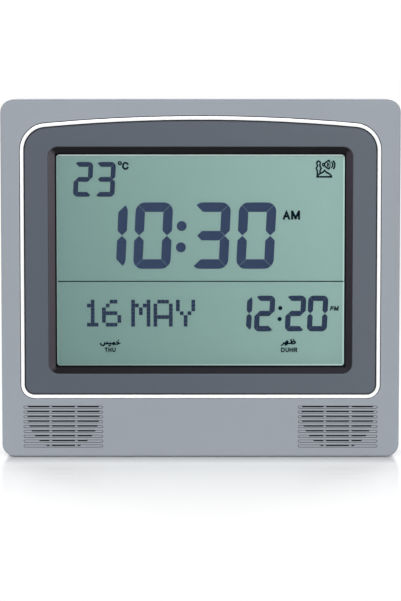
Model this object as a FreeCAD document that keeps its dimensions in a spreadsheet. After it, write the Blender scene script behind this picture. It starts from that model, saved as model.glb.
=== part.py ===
"""Azan clock: a digital prayer clock with a large liquid crystal display, for a table or a wall.

Millimetres. +X is to the right seen from the front, +Z is up and the display faces -Y. The origin
is on the table, under the middle of the case. Depths are counted from the crown of the trim ring,
the foremost point, towards the back, so that a depth d lies at y = d - case_depth / 2.
"""
import FreeCAD, Part
import os
import re

import Sketcher
from FreeCAD import Rotation, Vector

doc = FreeCAD.newDocument("azan_clock")

# ---------------------------------------------------------------- driving dimensions

DIMENSIONS = (
    ("case_width", 220.5, "overall width"),
    ("case_depth", 42.0, "overall depth, trim ring to back plane"),
    ("case_low", 0.25, "underside of the case above the table"),
    ("case_top", 198.5, "top of the case above the table"),
    ("case_corner", 7.2, "corner radius of the case seen from the front"),
    ("case_edge", 1.4, "rounding of the front edge"),
    ("wall_thickness", 2.4, "moulded wall"),
    ("shell_face", 0.5, "depth of the front face behind the ring's crown"),
    ("shell_rear", 22.0, "depth of the parting line"),
    ("fit_gap", 0.3, "play around moving pieces"),
    ("ring_half", 99.5, "trim ring, half width"),
    ("ring_low", 33.06, "trim ring, lower edge"),
    ("ring_high", 189.42, "trim ring, crown of the arched top"),
    ("ring_arch", 937.0, "radius of the arched top"),
    ("ring_shoulder", 14.9, "upper corner radius"),
    ("ring_heel", 7.5, "lower corner radius"),
    ("ring_width", 1.95, "visible width"),
    ("ring_gap", 0.35, "joint between case and ring"),
    ("bezel_gap", 0.45, "joint between ring and dark frame"),
    ("joint_depth", 0.9, "channel in the dark frame's flange behind that joint"),
    ("bezel_face", 1.7, "depth of the dark frame's face"),
    ("flange_width", 3.0, "flange behind the case, beyond the ring"),
    ("flange_thickness", 2.0, "flange behind the case"),
    ("view_half", 84.1, "opening of the dark frame, half width"),
    ("view_low", 46.6, "opening of the dark frame, lower edge"),
    ("view_high", 172.5, "opening of the dark frame, upper edge"),
    ("view_corner", 5.5, "opening of the dark frame, corner radius"),
    ("mask_face", 2.3, "depth of the mask's front lip"),
    ("mask_rear", 6.2, "depth of the mask's back"),
    ("glass_half", 80.0, "visible display, half width"),
    ("glass_low", 50.4, "visible display, lower edge"),
    ("glass_high", 168.2, "visible display, upper edge"),
    ("glass_corner", 2.5, "visible display, corner radius"),
    ("window_thickness", 1.2, "clear window"),
    ("window_gap", 0.3, "air between window and display glass"),
    ("cell_half", 84.5, "display glass, half width"),
    ("cell_low", 45.9, "display glass, lower edge with its contact ledge"),
    ("cell_high", 171.2, "display glass, upper edge"),
    ("cell_ledge", 3.4, "contact ledge left bare by the front glass"),
    ("cell_thickness", 1.1, "each display glass"),
    ("guide_thickness", 3.0, "light guide"),
    ("stake_radius", 0.9, "heat stakes that hold the dark frame"),
    ("post_half", 94.5, "board posts, distance from the middle"),
    ("post_radius", 2.6, "board posts"),
    ("board_face", 15.0, "depth of the main board's front"),
    ("board_thickness", 1.6, "circuit boards"),
    ("groove_inner", 54.15, "grille grooves, inner end"),
    ("groove_outer", 98.3, "grille grooves, outer end"),
    ("groove_high", 28.05, "centre of the highest groove"),
    ("groove_pitch", 2.72, "groove to groove"),
    ("groove_height", 1.6, "grooves"),
    ("groove_depth", 0.8, "fine channel along a groove's edge"),
    ("channel_width", 0.26, "fine channel along a groove's edge"),
    ("slat_inset", 0.15, "flat slat inside the channel, below the case's face"),
    ("groove_count", 9, "grooves in each grille"),
    ("sound_height", 0.85, "sound slots through the grooves"),
    ("sound_radius", 20.1, "round outline of the sound slots"),
    ("sound_bar", 0.7, "half width of the bars that cross the slots"),
    ("sound_bar_place", 7.1, "bars, distance from the speaker's axis"),
    ("speaker_x", 76.17, "speaker axis, distance from the middle"),
    ("speaker_z", 24.3, "speaker axis, height"),
    ("speaker_radius", 20.0, "speaker"),
    ("column_x", 101.5, "lower case screws"),
    ("column_low", 10.0, "lower case screws, height"),
    ("column_top_x", 100.5, "upper case screws"),
    ("column_high", 188.5, "upper case screws, height"),
    ("column_mid", 12.0, "middle case screw, height"),
    ("column_radius", 3.5, "screw columns of the front shell"),
    ("column_end", 25.0, "depth where columns and tubes meet"),
    ("tube_radius", 4.2, "screw tubes of the rear cover"),
    ("head_bore", 3.0, "counterbore of the screw tubes"),
    ("head_seat", 27.0, "depth of the screw heads' seat"),
    ("cover_step", 1.0, "rear cover set in from the shell"),
    ("cover_edge", 4.0, "rounding of the back edges"),
    ("panel_half", 48.0, "control panel recess, half width"),
    ("panel_low", 143.0, "control panel recess, lower edge"),
    ("panel_high", 177.0, "control panel recess, upper edge"),
    ("panel_depth", 40.0, "depth of the control panel's floor"),
    ("panel_floor", 2.0, "thickness of the control panel's floor"),
    ("button_pitch", 14.0, "button to button"),
    ("button_z", 166.0, "row of buttons, height"),
    ("button_width", 9.0, "buttons"),
    ("button_height", 6.0, "buttons"),
    ("button_crown", 41.5, "depth of the buttons' tops"),
    ("switch_x", 24.0, "slide switches, distance from the middle"),
    ("switch_z", 151.0, "slide switches, height"),
    ("switch_travel", 4.0, "slide switches"),
    ("keyboard_face", 29.6, "depth of the button board's front"),
    ("keyhole_x", 60.0, "keyholes, distance from the middle"),
    ("keyhole_z", 168.0, "keyholes, height of the round mouth"),
    ("keyhole_mouth", 4.5, "keyholes, radius of the round mouth"),
    ("keyhole_neck", 2.2, "keyholes, half width of the neck"),
    ("keyhole_rise", 8.0, "keyholes, mouth to the neck's top"),
    ("leg_half", 22.0, "stand leg, half width"),
    ("leg_low", 34.0, "stand leg, tip"),
    ("leg_hinge", 112.0, "stand leg, height of the pin"),
    ("leg_pin_depth", 39.8, "stand leg, depth of the pin"),
    ("leg_barrel", 2.1, "stand leg, knuckle radius"),
    ("leg_thickness", 3.2, "stand leg"),
    ("pin_radius", 1.0, "stand pin"),
    ("pin_half", 25.4, "stand pin, half length"),
    ("pin_play", 0.05, "stand pin in the leg, on the radius"),
    ("leg_bay_half", 22.4, "stand leg's bay, half width"),
    ("leg_bay_low", 33.5, "stand leg's bay, lower edge"),
    ("leg_bay_high", 114.8, "stand leg's bay, upper edge"),
    ("leg_bay_depth", 37.4, "depth of the bay's floor"),
    ("notch_half", 10.0, "finger notch under the leg, half width"),
    ("notch_low", 23.0, "finger notch under the leg, lower edge"),
    ("notch_depth", 36.9, "depth of the finger notch's floor"),
    ("door_left", 35.4, "battery door"),
    ("door_right", 96.2, "battery door"),
    ("door_low", 47.4, "battery door"),
    ("door_high", 96.2, "battery door"),
    ("door_face", 40.0, "depth of the battery door's inner face"),
    ("bay_left", 37.0, "battery bay"),
    ("bay_right", 94.5, "battery bay"),
    ("bay_low", 49.0, "battery bay"),
    ("bay_high", 94.7, "battery bay"),
    ("bay_floor", 24.6, "depth of the battery bay's floor"),
    ("bay_wall", 1.6, "walls of the battery bay"),
    ("cell_radius", 7.15, "size AA cell"),
    ("cell_length", 49.2, "size AA cell without its button"),
    ("cell_button", 1.2, "height of the cell's button"),
    ("cell_pitch", 15.2, "cell to cell"),
    ("vent_x", 76.0, "rear vents, distance from the middle"),
    ("vent_low", 14.0, "rear vents, height of the lowest"),
    ("vent_pitch", 4.4, "rear vents"),
    ("foot_radius", 4.0, "rubber feet"),
    ("foot_x", 85.0, "rubber feet, distance from the middle"),
    ("foot_front", 8.0, "depth of the front feet"),
    ("foot_back", 33.0, "depth of the back feet"),
    ("foot_socket", 0.8, "feet, set into the case"),
)

sheet = doc.addObject("Spreadsheet::Sheet", "size")
for row, (alias, number, meaning) in enumerate(DIMENSIONS, start=1):
    sheet.set(f"A{row}", alias)
    sheet.set(f"B{row}", str(number))
    sheet.set(f"C{row}", meaning)
    sheet.setAlias(f"B{row}", alias)
doc.recompute()

# Depths that follow from others
PLATE_REAR = "(shell_face + wall_thickness)"
FLANGE_REAR = "(shell_face + wall_thickness + flange_thickness)"
WINDOW_REAR = "(mask_rear + window_thickness)"
GLASS_FACE = "(mask_rear + window_thickness + window_gap)"
GLASS_JOINT = f"({GLASS_FACE} + cell_thickness)"
GLASS_REAR = f"({GLASS_JOINT} + cell_thickness)"
GUIDE_FACE = f"({GLASS_REAR} + 0.3)"
GUIDE_REAR = f"({GUIDE_FACE} + guide_thickness)"
BOARD_REAR = "(board_face + board_thickness)"
COVER_PLATE = "(case_depth - wall_thickness)"
PANEL_REAR = "(panel_depth - panel_floor)"
KEYBOARD_REAR = "(keyboard_face + board_thickness)"
CELL_AXIS = "(bay_floor + 0.2 + cell_radius)"

# ---------------------------------------------------------------- tools of the trade

RADIAN = 3.141592653589793 / 180


def in_sheet(formula):
    """The formula with each alias written as a reference into the sheet."""
    return re.sub(r"[a-z]+(_[a-z]+)+", lambda alias: "size." + alias.group(), str(formula))


def value(formula):
    """The present value of a formula."""
    return float(sheet.evalExpression(in_sheet(formula)))


def bind(thing, name, formula):
    """Let a property follow a formula of the sheet's aliases."""
    thing.setExpression(name, in_sheet(formula))


def new_body(label):
    body = doc.addObject("PartDesign::Body", label)
    body.Label = label
    return body


def new_sketch(body, name, draw, role="XZ_Plane", offset="0"):
    """A sketch of what draw outlines, on one of the body's own origin planes or parallel to it."""
    sketch = body.newObject("Sketcher::SketchObject", name)
    plane = next(item for item in body.Origin.OriginFeatures if item.Role == role)
    sketch.AttachmentSupport = [(plane, "")]
    sketch.MapMode = "FlatFace"
    bind(sketch, "AttachmentOffset.Base.z", offset)
    outline = Outline()
    draw(outline)
    outline.draw_in(sketch)
    return sketch


def facing(body, name, depth, draw):
    """A sketch seen from the front, at a depth: its x is X and its y is Z."""
    return new_sketch(body, name, draw, "XZ_Plane", f"case_depth / 2 - ({depth})")


class Outline:
    """Edges and constraints gathered for one sketch, and the formulas its dimensions follow."""

    def __init__(self):
        self.edges = []
        self.constraints = []
        self.formulas = {}

    def edge(self, geometry):
        self.edges.append(geometry)
        return len(self.edges) - 1

    def line(self, start, end):
        return self.edge(Part.LineSegment(Vector(*start, 0), Vector(*end, 0)))

    def arc(self, centre, radius, first, last):
        """A round corner, counter-clockwise between two angles in degrees."""
        whole = Part.Circle(Vector(*centre, 0), Vector(0, 0, 1), radius)
        return self.edge(Part.ArcOfCircle(whole, first * RADIAN, last * RADIAN))

    def tie(self, kind, *places):
        self.constraints.append(Sketcher.Constraint(kind, *places))

    def hold(self, kind, places, formula):
        """A dimension that follows a formula."""
        self.formulas[len(self.constraints)] = formula
        self.constraints.append(Sketcher.Constraint(kind, *places, value(formula)))

    def hold_point(self, place, across, up):
        self.hold("DistanceX", (-1, 1, *place), across)
        self.hold("DistanceY", (-1, 1, *place), up)

    def chain(self, edges):
        """Tangent joints from each edge's end to the next one's start, all the way round."""
        for edge, following in zip(edges, edges[1:] + edges[:1]):
            self.tie("Tangent", edge, 2, following, 1)

    def draw_in(self, sketch):
        sketch.addGeometry(self.edges, False)
        sketch.addConstraint(self.constraints)
        for index, formula in self.formulas.items():
            bind(sketch, f"Constraints[{index}]", formula)


def circle(outline, across, up, radius):
    centre = Vector(value(across), value(up), 0)
    edge = outline.edge(Part.Circle(centre, Vector(0, 0, 1), value(radius)))
    outline.hold_point((edge, 3), across, up)
    outline.hold("Radius", (edge,), radius)


def polygon(outline, corners):
    """A closed outline of straight lines, each corner held by its two distances."""
    points = [(value(across), value(up)) for across, up in corners]
    edges = [outline.line(start, end) for start, end in zip(points, points[1:] + points[:1])]
    for edge, following in zip(edges, edges[1:] + edges[:1]):
        outline.tie("Coincident", edge, 2, following, 1)
    for edge, (across, up) in zip(edges, corners):
        outline.hold_point((edge, 1), across, up)


def rectangle(outline, left, right, low, high, radius=None):
    """An upright rectangle, with round corners if a radius is given."""
    if radius is None:
        polygon(outline, ((left, low), (right, low), (right, high), (left, high)))
        return
    x0, x1, z0, z1, r = (value(item) for item in (left, right, low, high, radius))
    bottom = outline.line((x0 + r, z0), (x1 - r, z0))
    low_right = outline.arc((x1 - r, z0 + r), r, -90, 0)
    side = outline.line((x1, z0 + r), (x1, z1 - r))
    high_right = outline.arc((x1 - r, z1 - r), r, 0, 90)
    top = outline.line((x1 - r, z1), (x0 + r, z1))
    high_left = outline.arc((x0 + r, z1 - r), r, 90, 180)
    other = outline.line((x0, z1 - r), (x0, z0 + r))
    low_left = outline.arc((x0 + r, z0 + r), r, 180, 270)
    outline.chain([bottom, low_right, side, high_right, top, high_left, other, low_left])
    for edge in (bottom, top):
        outline.tie("Horizontal", edge)
    for edge in (side, other):
        outline.tie("Vertical", edge)
    for corner in (high_right, high_left, low_left):
        outline.tie("Equal", low_right, corner)
    outline.hold("Radius", (low_right,), radius)
    outline.hold("DistanceX", (-1, 1, other, 1), left)
    outline.hold("DistanceX", (-1, 1, side, 1), right)
    outline.hold("DistanceY", (-1, 1, bottom, 1), low)
    outline.hold("DistanceY", (-1, 1, top, 1), high)


def slot(outline, left, right, up, height):
    """A level slot with round ends."""
    x0, x1, z, r = value(left), value(right), value(up), value(height) / 2
    bottom = outline.line((x0 + r, z - r), (x1 - r, z - r))
    near = outline.arc((x1 - r, z), r, -90, 90)
    top = outline.line((x1 - r, z + r), (x0 + r, z + r))
    far = outline.arc((x0 + r, z), r, 90, 270)
    outline.chain([bottom, near, top, far])
    outline.tie("Horizontal", bottom)
    outline.tie("Equal", near, far)
    outline.hold("Radius", (near,), f"({height}) / 2")
    outline.hold_point((near, 3), f"({right}) - ({height}) / 2", up)
    outline.hold("DistanceX", (-1, 1, far, 3), f"({left}) + ({height}) / 2")


def arch(outline, offset):
    """The ring's outline, or one parallel to it: upright sides, round corners and an arched top."""
    half = value(f"ring_half + {offset}")
    low = value(f"ring_low - ({offset})")
    big = value(f"ring_arch + {offset}")
    crown = value("ring_high - ring_arch")
    shoulder = value(f"ring_shoulder + {offset}")
    heel = value(f"ring_heel + {offset}")
    corner_x = half - shoulder
    rise = ((big - shoulder) ** 2 - corner_x ** 2) ** 0.5
    corner_z = crown + rise
    lean = Vector(corner_x, rise, 0).getAngle(Vector(1, 0, 0)) / RADIAN
    bottom = outline.line((heel - half, low), (half - heel, low))
    heel_right = outline.arc((half - heel, low + heel), heel, -90, 0)
    side = outline.line((half, low + heel), (half, corner_z))
    shoulder_right = outline.arc((corner_x, corner_z), shoulder, 0, lean)
    top = outline.arc((0, crown), big, lean, 180 - lean)
    shoulder_left = outline.arc((-corner_x, corner_z), shoulder, 180 - lean, 180)
    other = outline.line((-half, corner_z), (-half, low + heel))
    heel_left = outline.arc((heel - half, low + heel), heel, 180, 270)
    outline.chain([bottom, heel_right, side, shoulder_right, top, shoulder_left, other, heel_left])
    outline.tie("Horizontal", bottom)
    outline.tie("Vertical", side)
    outline.tie("Vertical", other)
    outline.tie("Equal", shoulder_right, shoulder_left)
    outline.tie("Equal", heel_right, heel_left)
    outline.tie("PointOnObject", top, 3, -2)
    outline.hold("Radius", (top,), f"ring_arch + {offset}")
    outline.hold("Radius", (shoulder_right,), f"ring_shoulder + {offset}")
    outline.hold("Radius", (heel_right,), f"ring_heel + {offset}")
    outline.hold("DistanceX", (-1, 1, side, 1), f"ring_half + {offset}")
    outline.hold("DistanceX", (-1, 1, other, 1), f"-(ring_half + {offset})")
    outline.hold("DistanceY", (-1, 1, bottom, 1), f"ring_low - ({offset})")
    outline.hold("DistanceY", (-1, 1, top, 3), "ring_high - ring_arch")


def add(body, name, front, rear, draw):
    """Material between two depths, inside the outline that draw makes."""
    feature = body.newObject("PartDesign::Pad", f"{body.Name}_{name}")
    feature.Profile = facing(body, f"{feature.Name}_outline", front, draw)
    feature.Reversed = True
    bind(feature, "Length", f"({rear}) - ({front})")
    doc.recompute()
    return feature


def cut(body, name, front, rear, draw):
    """Material removed between two depths, inside the outline that draw makes."""
    before = body.Shape.Volume
    feature = body.newObject("PartDesign::Pocket", f"{body.Name}_{name}")
    feature.Profile = facing(body, f"{feature.Name}_outline", front, draw)
    bind(feature, "Length", f"({rear}) - ({front})")
    expect_less(body, feature, before)
    return feature


def add_across(body, name, left, right, draw):
    """Material between two places along X; the outline is seen from the side, its x is Y."""
    feature = body.newObject("PartDesign::Pad", f"{body.Name}_{name}")
    feature.Profile = new_sketch(body, f"{feature.Name}_outline", draw, "YZ_Plane", left)
    bind(feature, "Length", f"({right}) - ({left})")
    doc.recompute()
    return feature


def cut_across(body, name, left, right, draw):
    """Material removed between two places along X."""
    before = body.Shape.Volume
    feature = body.newObject("PartDesign::Pocket", f"{body.Name}_{name}")
    feature.Profile = new_sketch(body, f"{feature.Name}_outline", draw, "YZ_Plane", left)
    feature.Reversed = True
    bind(feature, "Length", f"({right}) - ({left})")
    expect_less(body, feature, before)
    return feature


def cut_from_below(body, name, draw):
    """Shallow sockets in the underside."""
    before = body.Shape.Volume
    feature = body.newObject("PartDesign::Pocket", f"{body.Name}_{name}")
    feature.Profile = new_sketch(body, f"{feature.Name}_outline", draw, "XY_Plane", "case_low")
    feature.Reversed = True
    bind(feature, "Length", "foot_socket")
    expect_less(body, feature, before)
    return feature


def expect_less(body, feature, before):
    """Stop if a cut misses its body."""
    doc.recompute()
    if "Invalid" in feature.State or body.Shape.Volume > before - 1e-3:
        raise RuntimeError(f"{feature.Name} removes nothing: {feature.State}")


def turn(body, name, corners):
    """Material turned about the Y axis: corners are pairs of radius and depth."""
    feature = body.newObject("PartDesign::Revolution", f"{body.Name}_{name}")
    sketch = new_sketch(body, f"{feature.Name}_outline", lambda s: polygon(
        s, [(radius, f"({depth}) - case_depth / 2") for radius, depth in corners]), "XY_Plane")
    feature.Profile = sketch
    feature.ReferenceAxis = (sketch, ["V_Axis"])
    doc.recompute()
    return feature


def round_edges(body, name, radius, chosen):
    """Round the edges for which chosen is true."""
    solid = body.Tip.Shape
    names = [f"Edge{index}" for index, edge in enumerate(solid.Edges, start=1) if chosen(edge)]
    if not names:
        raise RuntimeError(f"{body.Label}: {name} finds no edge")
    feature = body.newObject("PartDesign::Fillet", f"{body.Name}_{name}")
    feature.Base = (feature.BaseFeature or body.Tip, names)
    bind(feature, "Radius", radius)
    doc.recompute()
    return feature


def depth_of(edge):
    """The depth of an edge that runs at one depth, or None."""
    box = edge.BoundBox
    if box.YLength > 1e-4:
        return None
    return box.YMin + value("case_depth / 2")


def at_depth(depth, inside=None):
    """Choose edges at a depth, and within a half width and two heights if they are given."""
    level = value(depth)

    def chosen(edge):
        found = depth_of(edge)
        if found is None or abs(found - level) > 1e-3:
            return False
        if inside is None:
            return True
        half, low, high = inside
        box = edge.BoundBox
        return max(-box.XMin, box.XMax) < half and low < box.ZMin and box.ZMax < high

    return chosen


def both_sides(places):
    """The given places and their mirror images in X."""
    return [(f"{sign} * ({across})", up) for sign in (-1, 1) for across, up in places]


# ---------------------------------------------------------------- case

CASE_COLUMNS = both_sides((("column_x", "column_low"), ("column_top_x", "column_high")))
CASE_COLUMNS.append(("0", "column_mid"))
BEZEL_STAKES = both_sides(
    (("ring_half + flange_width / 2", "60"), ("ring_half + flange_width / 2", "110"),
     ("ring_half + flange_width / 2", "155"), ("30", "ring_low - flange_width / 2"))
)
SPEAKERS = (("left", -1), ("right", 1))
CLAMP_X = "speaker_radius + 3.5"
CLAMP_Z = "speaker_z - 4"
CLAMPS = both_sides(((f"speaker_x - ({CLAMP_X})", CLAMP_Z), (f"speaker_x + {CLAMP_X}", CLAMP_Z)))


def front_shell():
    """Tray-shaped moulding: front plate with its arched opening and grilles, and four walls."""
    body = new_body("front_shell")
    half = "case_width / 2"
    add(body, "block", "shell_face", "shell_rear",
        lambda s: rectangle(s, f"-{half}", half, "case_low", "case_top", "case_corner"))
    round_edges(body, "front_edge", "case_edge", at_depth("shell_face"))
    cut(body, "inside", PLATE_REAR, "shell_rear", lambda s: rectangle(
        s, f"wall_thickness - {half}", f"{half} - wall_thickness", "case_low + wall_thickness",
        "case_top - wall_thickness", "case_corner - wall_thickness"))
    cut(body, "opening", "shell_face", PLATE_REAR, lambda s: arch(s, "ring_gap"))
    within_ring = [value(limit) for limit in ("ring_half + 1", "ring_low - 1", "ring_high + 1")]
    round_edges(body, "opening_edge", "0.3", at_depth("shell_face", within_ring))

    def speaker_seats(outline):
        for side in (-1, 1):
            circle(outline, f"{side} * speaker_x", "speaker_z", "speaker_radius + 1.5")
            circle(outline, f"{side} * speaker_x", "speaker_z", "speaker_radius - 0.6")

    add(body, "speaker_seats", PLATE_REAR, FLANGE_REAR, speaker_seats)
    flange_low = "ring_low - flange_width - 0.2"
    cut(body, "seat_relief", PLATE_REAR, FLANGE_REAR, lambda s: rectangle(
        s, "-100", "100", flange_low, f"{flange_low} + 17"))
    add(body, "clamp_bosses", PLATE_REAR, f"{FLANGE_REAR} + 1.2",
        lambda s: [circle(s, across, up, "2.5") for across, up in CLAMPS])
    add(body, "columns", PLATE_REAR, "column_end",
        lambda s: [circle(s, across, up, "column_radius") for across, up in CASE_COLUMNS])
    cut(body, "pilot_holes", "column_end - 16", "column_end",
        lambda s: [circle(s, across, up, "1.25") for across, up in CASE_COLUMNS])
    cut(body, "clamp_pilots", f"{PLATE_REAR} + 0.4", f"{FLANGE_REAR} + 1.2",
        lambda s: [circle(s, across, up, "1.05") for across, up in CLAMPS])
    add(body, "stakes", PLATE_REAR, f"{FLANGE_REAR} + 0.1",
        lambda s: [circle(s, across, up, "stake_radius") for across, up in BEZEL_STAKES])
    add(body, "stake_heads", f"{FLANGE_REAR} + 0.1", f"{FLANGE_REAR} + 0.9",
        lambda s: [circle(s, across, up, "stake_radius + 0.8") for across, up in BEZEL_STAKES])

    def foot_sockets(outline):
        for side in (-1, 1):
            circle(outline, f"{side} * foot_x", "foot_front - case_depth / 2", "foot_radius + 0.05")

    cut_from_below(body, "foot_sockets", foot_sockets)
    add_grilles(body)
    return body


def add_grilles(body):
    """Rows of slats, each inside a fine channel, slotted through in front of each speaker."""
    groove = cut(body, "groove", "shell_face", "shell_face + slat_inset",
                 lambda s: slot(s, "groove_inner", "groove_outer", "groove_high", "groove_height"))
    slit = cut(body, "slit", "shell_face", PLATE_REAR, lambda s: rectangle(
        s, "groove_inner + 1", "groove_outer - 1", f"{SLIT_TOP} - sound_height", SLIT_TOP))
    in_rows(body, "grooves", [groove, slit])

    def bars(outline):
        for side in (-1, 1):
            for offset in ("- sound_bar_place", "+ sound_bar_place"):
                middle = f"{side} * speaker_x {offset}"
                rectangle(outline, f"{middle} - sound_bar", f"{middle} + sound_bar",
                          "groove_high - groove_pitch * (groove_count - 1) - 1", FIELD_TOP)

    add(body, "sound_backing", "shell_face + slat_inset", PLATE_REAR,
        lambda s: [around_speaker(s, side) for side in (-1, 1)])
    add(body, "sound_bars", "shell_face + slat_inset", PLATE_REAR, bars)

    def channel(outline):
        slot(outline, "groove_inner", "groove_outer", "groove_high", "groove_height")
        slot(outline, "groove_inner + channel_width", "groove_outer - channel_width", "groove_high",
             "groove_height - 2 * channel_width")

    in_rows(body, "channels", [cut(body, "channel", "shell_face", "shell_face + groove_depth", channel)])


def in_rows(body, name, cuts):
    """Repeat cuts of the highest groove down the rows of both grilles."""
    axis = (cuts[0].Profile[0], ["V_Axis"])
    rows = body.newObject("PartDesign::LinearPattern", f"{name}_rows")
    rows.Direction = axis
    rows.Reversed = True
    bind(rows, "Length", "groove_pitch * (groove_count - 1)")
    bind(rows, "Occurrences", "groove_count")
    mirror = body.newObject("PartDesign::Mirrored", f"{name}_mirror")
    mirror.MirrorPlane = axis
    repeated = body.newObject("PartDesign::MultiTransform", name)
    repeated.Originals = cuts
    repeated.Transformations = [rows, mirror]
    body.Tip = repeated
    doc.recompute()


def around_speaker(outline, side):
    """The grille's area outside the round field of slots: a block with the speaker's circle bitten out."""
    left, right = sorted((f"{side} * (groove_inner + 0.5)", f"{side} * (groove_outer - 0.5)"), key=value)
    low = "(speaker_z - sound_radius - 0.5)"
    middle = f"({side} * speaker_x)"
    x0, x1, z0, z1 = value(left), value(right), value(low), value(FIELD_TOP)
    xm, zm, r = value(middle), value("speaker_z"), value("sound_radius")
    chord = (r ** 2 - (z1 - zm) ** 2) ** 0.5
    lift = Vector(chord, z1 - zm, 0).getAngle(Vector(1, 0, 0)) / RADIAN
    bottom = outline.line((x0, z0), (x1, z0))
    right_side = outline.line((x1, z0), (x1, z1))
    right_top = outline.line((x1, z1), (xm + chord, z1))
    bite = outline.arc((xm, zm), r, 180 - lift, 360 + lift)
    left_top = outline.line((xm - chord, z1), (x0, z1))
    left_side = outline.line((x0, z1), (x0, z0))
    for edge, end, following, start in (
        (bottom, 2, right_side, 1), (right_side, 2, right_top, 1), (right_top, 2, bite, 2),
        (bite, 1, left_top, 1), (left_top, 2, left_side, 1), (left_side, 2, bottom, 1),
    ):
        outline.tie("Coincident", edge, end, following, start)
    outline.tie("Horizontal", right_top)
    outline.tie("Horizontal", left_top)
    outline.hold_point((bottom, 1), left, low)
    outline.hold_point((right_side, 1), right, low)
    outline.hold_point((right_top, 1), right, FIELD_TOP)
    outline.hold_point((left_side, 1), left, FIELD_TOP)
    outline.hold_point((bite, 3), middle, "speaker_z")
    outline.hold("Radius", (bite,), "sound_radius")


SLIT_TOP = "(groove_high + groove_height / 2)"
FIELD_TOP = "(groove_high + groove_height / 2 + 0.3)"


def trim_ring():
    """Narrow bright ring that stands a little proud of the joint between case and dark frame."""
    body = new_body("trim_ring")
    add(body, "band", "0", PLATE_REAR, lambda s: arch(s, "0"))
    cut(body, "inside", "0", PLATE_REAR, lambda s: arch(s, "(0 - ring_width)"))
    round_edges(body, "crown", "0.3", at_depth("0"))
    return body


def inner_bezel():
    """Dark frame between ring and mask, with a flange behind the case and posts for the board."""
    body = new_body("inner_bezel")
    add(body, "flange", PLATE_REAR, FLANGE_REAR, lambda s: arch(s, "flange_width"))
    add(body, "face", "bezel_face", PLATE_REAR, lambda s: arch(s, INSIDE_JOINT))
    cut(body, "view", "bezel_face", FLANGE_REAR, lambda s: rectangle(
        s, "0 - view_half", "view_half", "view_low", "view_high", "view_corner"))
    round_edges(body, "edges", "0.5", at_depth("bezel_face"))

    def joint(outline):
        arch(outline, "(0 - ring_width)")
        arch(outline, INSIDE_JOINT)

    cut(body, "joint", PLATE_REAR, f"{PLATE_REAR} + joint_depth", joint)
    cut(body, "stake_holes", PLATE_REAR, FLANGE_REAR,
        lambda s: [circle(s, across, up, "stake_radius + 0.1") for across, up in BEZEL_STAKES])
    add(body, "posts", FLANGE_REAR, "board_face",
        lambda s: [circle(s, across, up, "post_radius") for across, up in BOARD_POSTS])
    cut(body, "pilot_holes", "board_face - 7", "board_face",
        lambda s: [circle(s, across, up, "0.95") for across, up in BOARD_POSTS])
    return body


INSIDE_JOINT = "(0 - ring_width - bezel_gap)"
BOARD_POSTS = both_sides((("post_half", "54"), ("post_half", "110"), ("post_half", "164")))


def display_mask():
    """Black funnel-shaped frame that slopes from the dark frame back to the display."""
    body = new_body("display_mask")
    margin = "0.12"
    add(body, "lip", "mask_face", "mask_rear", lambda s: rectangle(
        s, f"{margin} - view_half", f"view_half - {margin}", f"view_low + {margin}",
        f"view_high - {margin}", f"view_corner - {margin}"))
    add(body, "flange", FLANGE_REAR, "mask_rear", lambda s: rectangle(
        s, "0 - view_half - 3.5", "view_half + 3.5", "view_low - 1.6", "view_high + 2.6", "2"))
    slope = body.newObject("PartDesign::SubtractiveLoft", "slope")
    tip = "0.5"
    slope.Profile = facing(body, "slope_mouth", "mask_face", lambda s: rectangle(
        s, f"{tip} - view_half", f"view_half - {tip}", f"view_low + {tip}",
        f"view_high - {tip}", f"view_corner - {tip}"))
    slope.Sections = [facing(body, "slope_throat", "mask_rear", lambda s: rectangle(
        s, "0 - glass_half", "glass_half", "glass_low", "glass_high", "glass_corner"))]
    slope.Ruled = True
    body.Tip = slope
    doc.recompute()
    return body


def slab(label, front, rear, left, right, low, high, radius=None):
    """A plain sheet or block between two depths."""
    body = new_body(label)
    add(body, "sheet", front, rear, lambda s: rectangle(s, left, right, low, high, radius))
    return body


# ---------------------------------------------------------------- display


def display_window():
    """Clear acrylic window behind the mask."""
    return slab("display_window", "mask_rear", WINDOW_REAR, "1 - cell_half", "cell_half - 1",
                "cell_low + 1.5", "cell_high", "1.5")


def lcd_front_glass():
    """Front glass of the liquid crystal cell; it leaves the contact ledge bare."""
    return slab("lcd_front_glass", GLASS_FACE, GLASS_JOINT, "0 - cell_half", "cell_half",
                "cell_low + cell_ledge", "cell_high")


def lcd_rear_glass():
    """Rear glass of the liquid crystal cell, with the contact ledge along its lower edge."""
    return slab("lcd_rear_glass", GLASS_JOINT, GLASS_REAR, "0 - cell_half", "cell_half",
                "cell_low", "cell_high")


def lcd_diffuser():
    """Reflecting film behind the cell."""
    return slab("lcd_diffuser", GLASS_REAR, GUIDE_FACE, "0 - cell_half", "cell_half",
                "cell_low + cell_ledge", "cell_high")


def light_guide():
    """Acrylic plate that spreads the light of the row of lamps above it."""
    return slab("light_guide", GUIDE_FACE, GUIDE_REAR, "-83", "83", "glass_low + 0.6", "glass_high - 0.2")


LAMP_PLACES = [f"({number} - 2.5) * 26" for number in range(6)]


def backlight_board():
    """Strip board that carries the lamps, lying above the light guide."""
    return slab("backlight_board", GUIDE_FACE, f"{GUIDE_REAR} - 0.1", "-75", "75", "171.3", "172.1")


def backlight_leds():
    """Six side-lighting lamps under the strip board."""
    body = new_body("backlight_leds")
    add(body, "lamps", f"{GUIDE_FACE} + 0.3", f"{GUIDE_REAR} - 0.3", lambda s: [
        rectangle(s, f"{place} - 1.6", f"{place} + 1.6", "168.4", "171.3") for place in LAMP_PLACES])
    return body


def connector_strip():
    """Striped elastomer that joins the glass's contact ledge to the main board."""
    return slab("connector_strip", GLASS_REAR, "board_face", "-70", "70", "46.3", "48.7")


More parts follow.
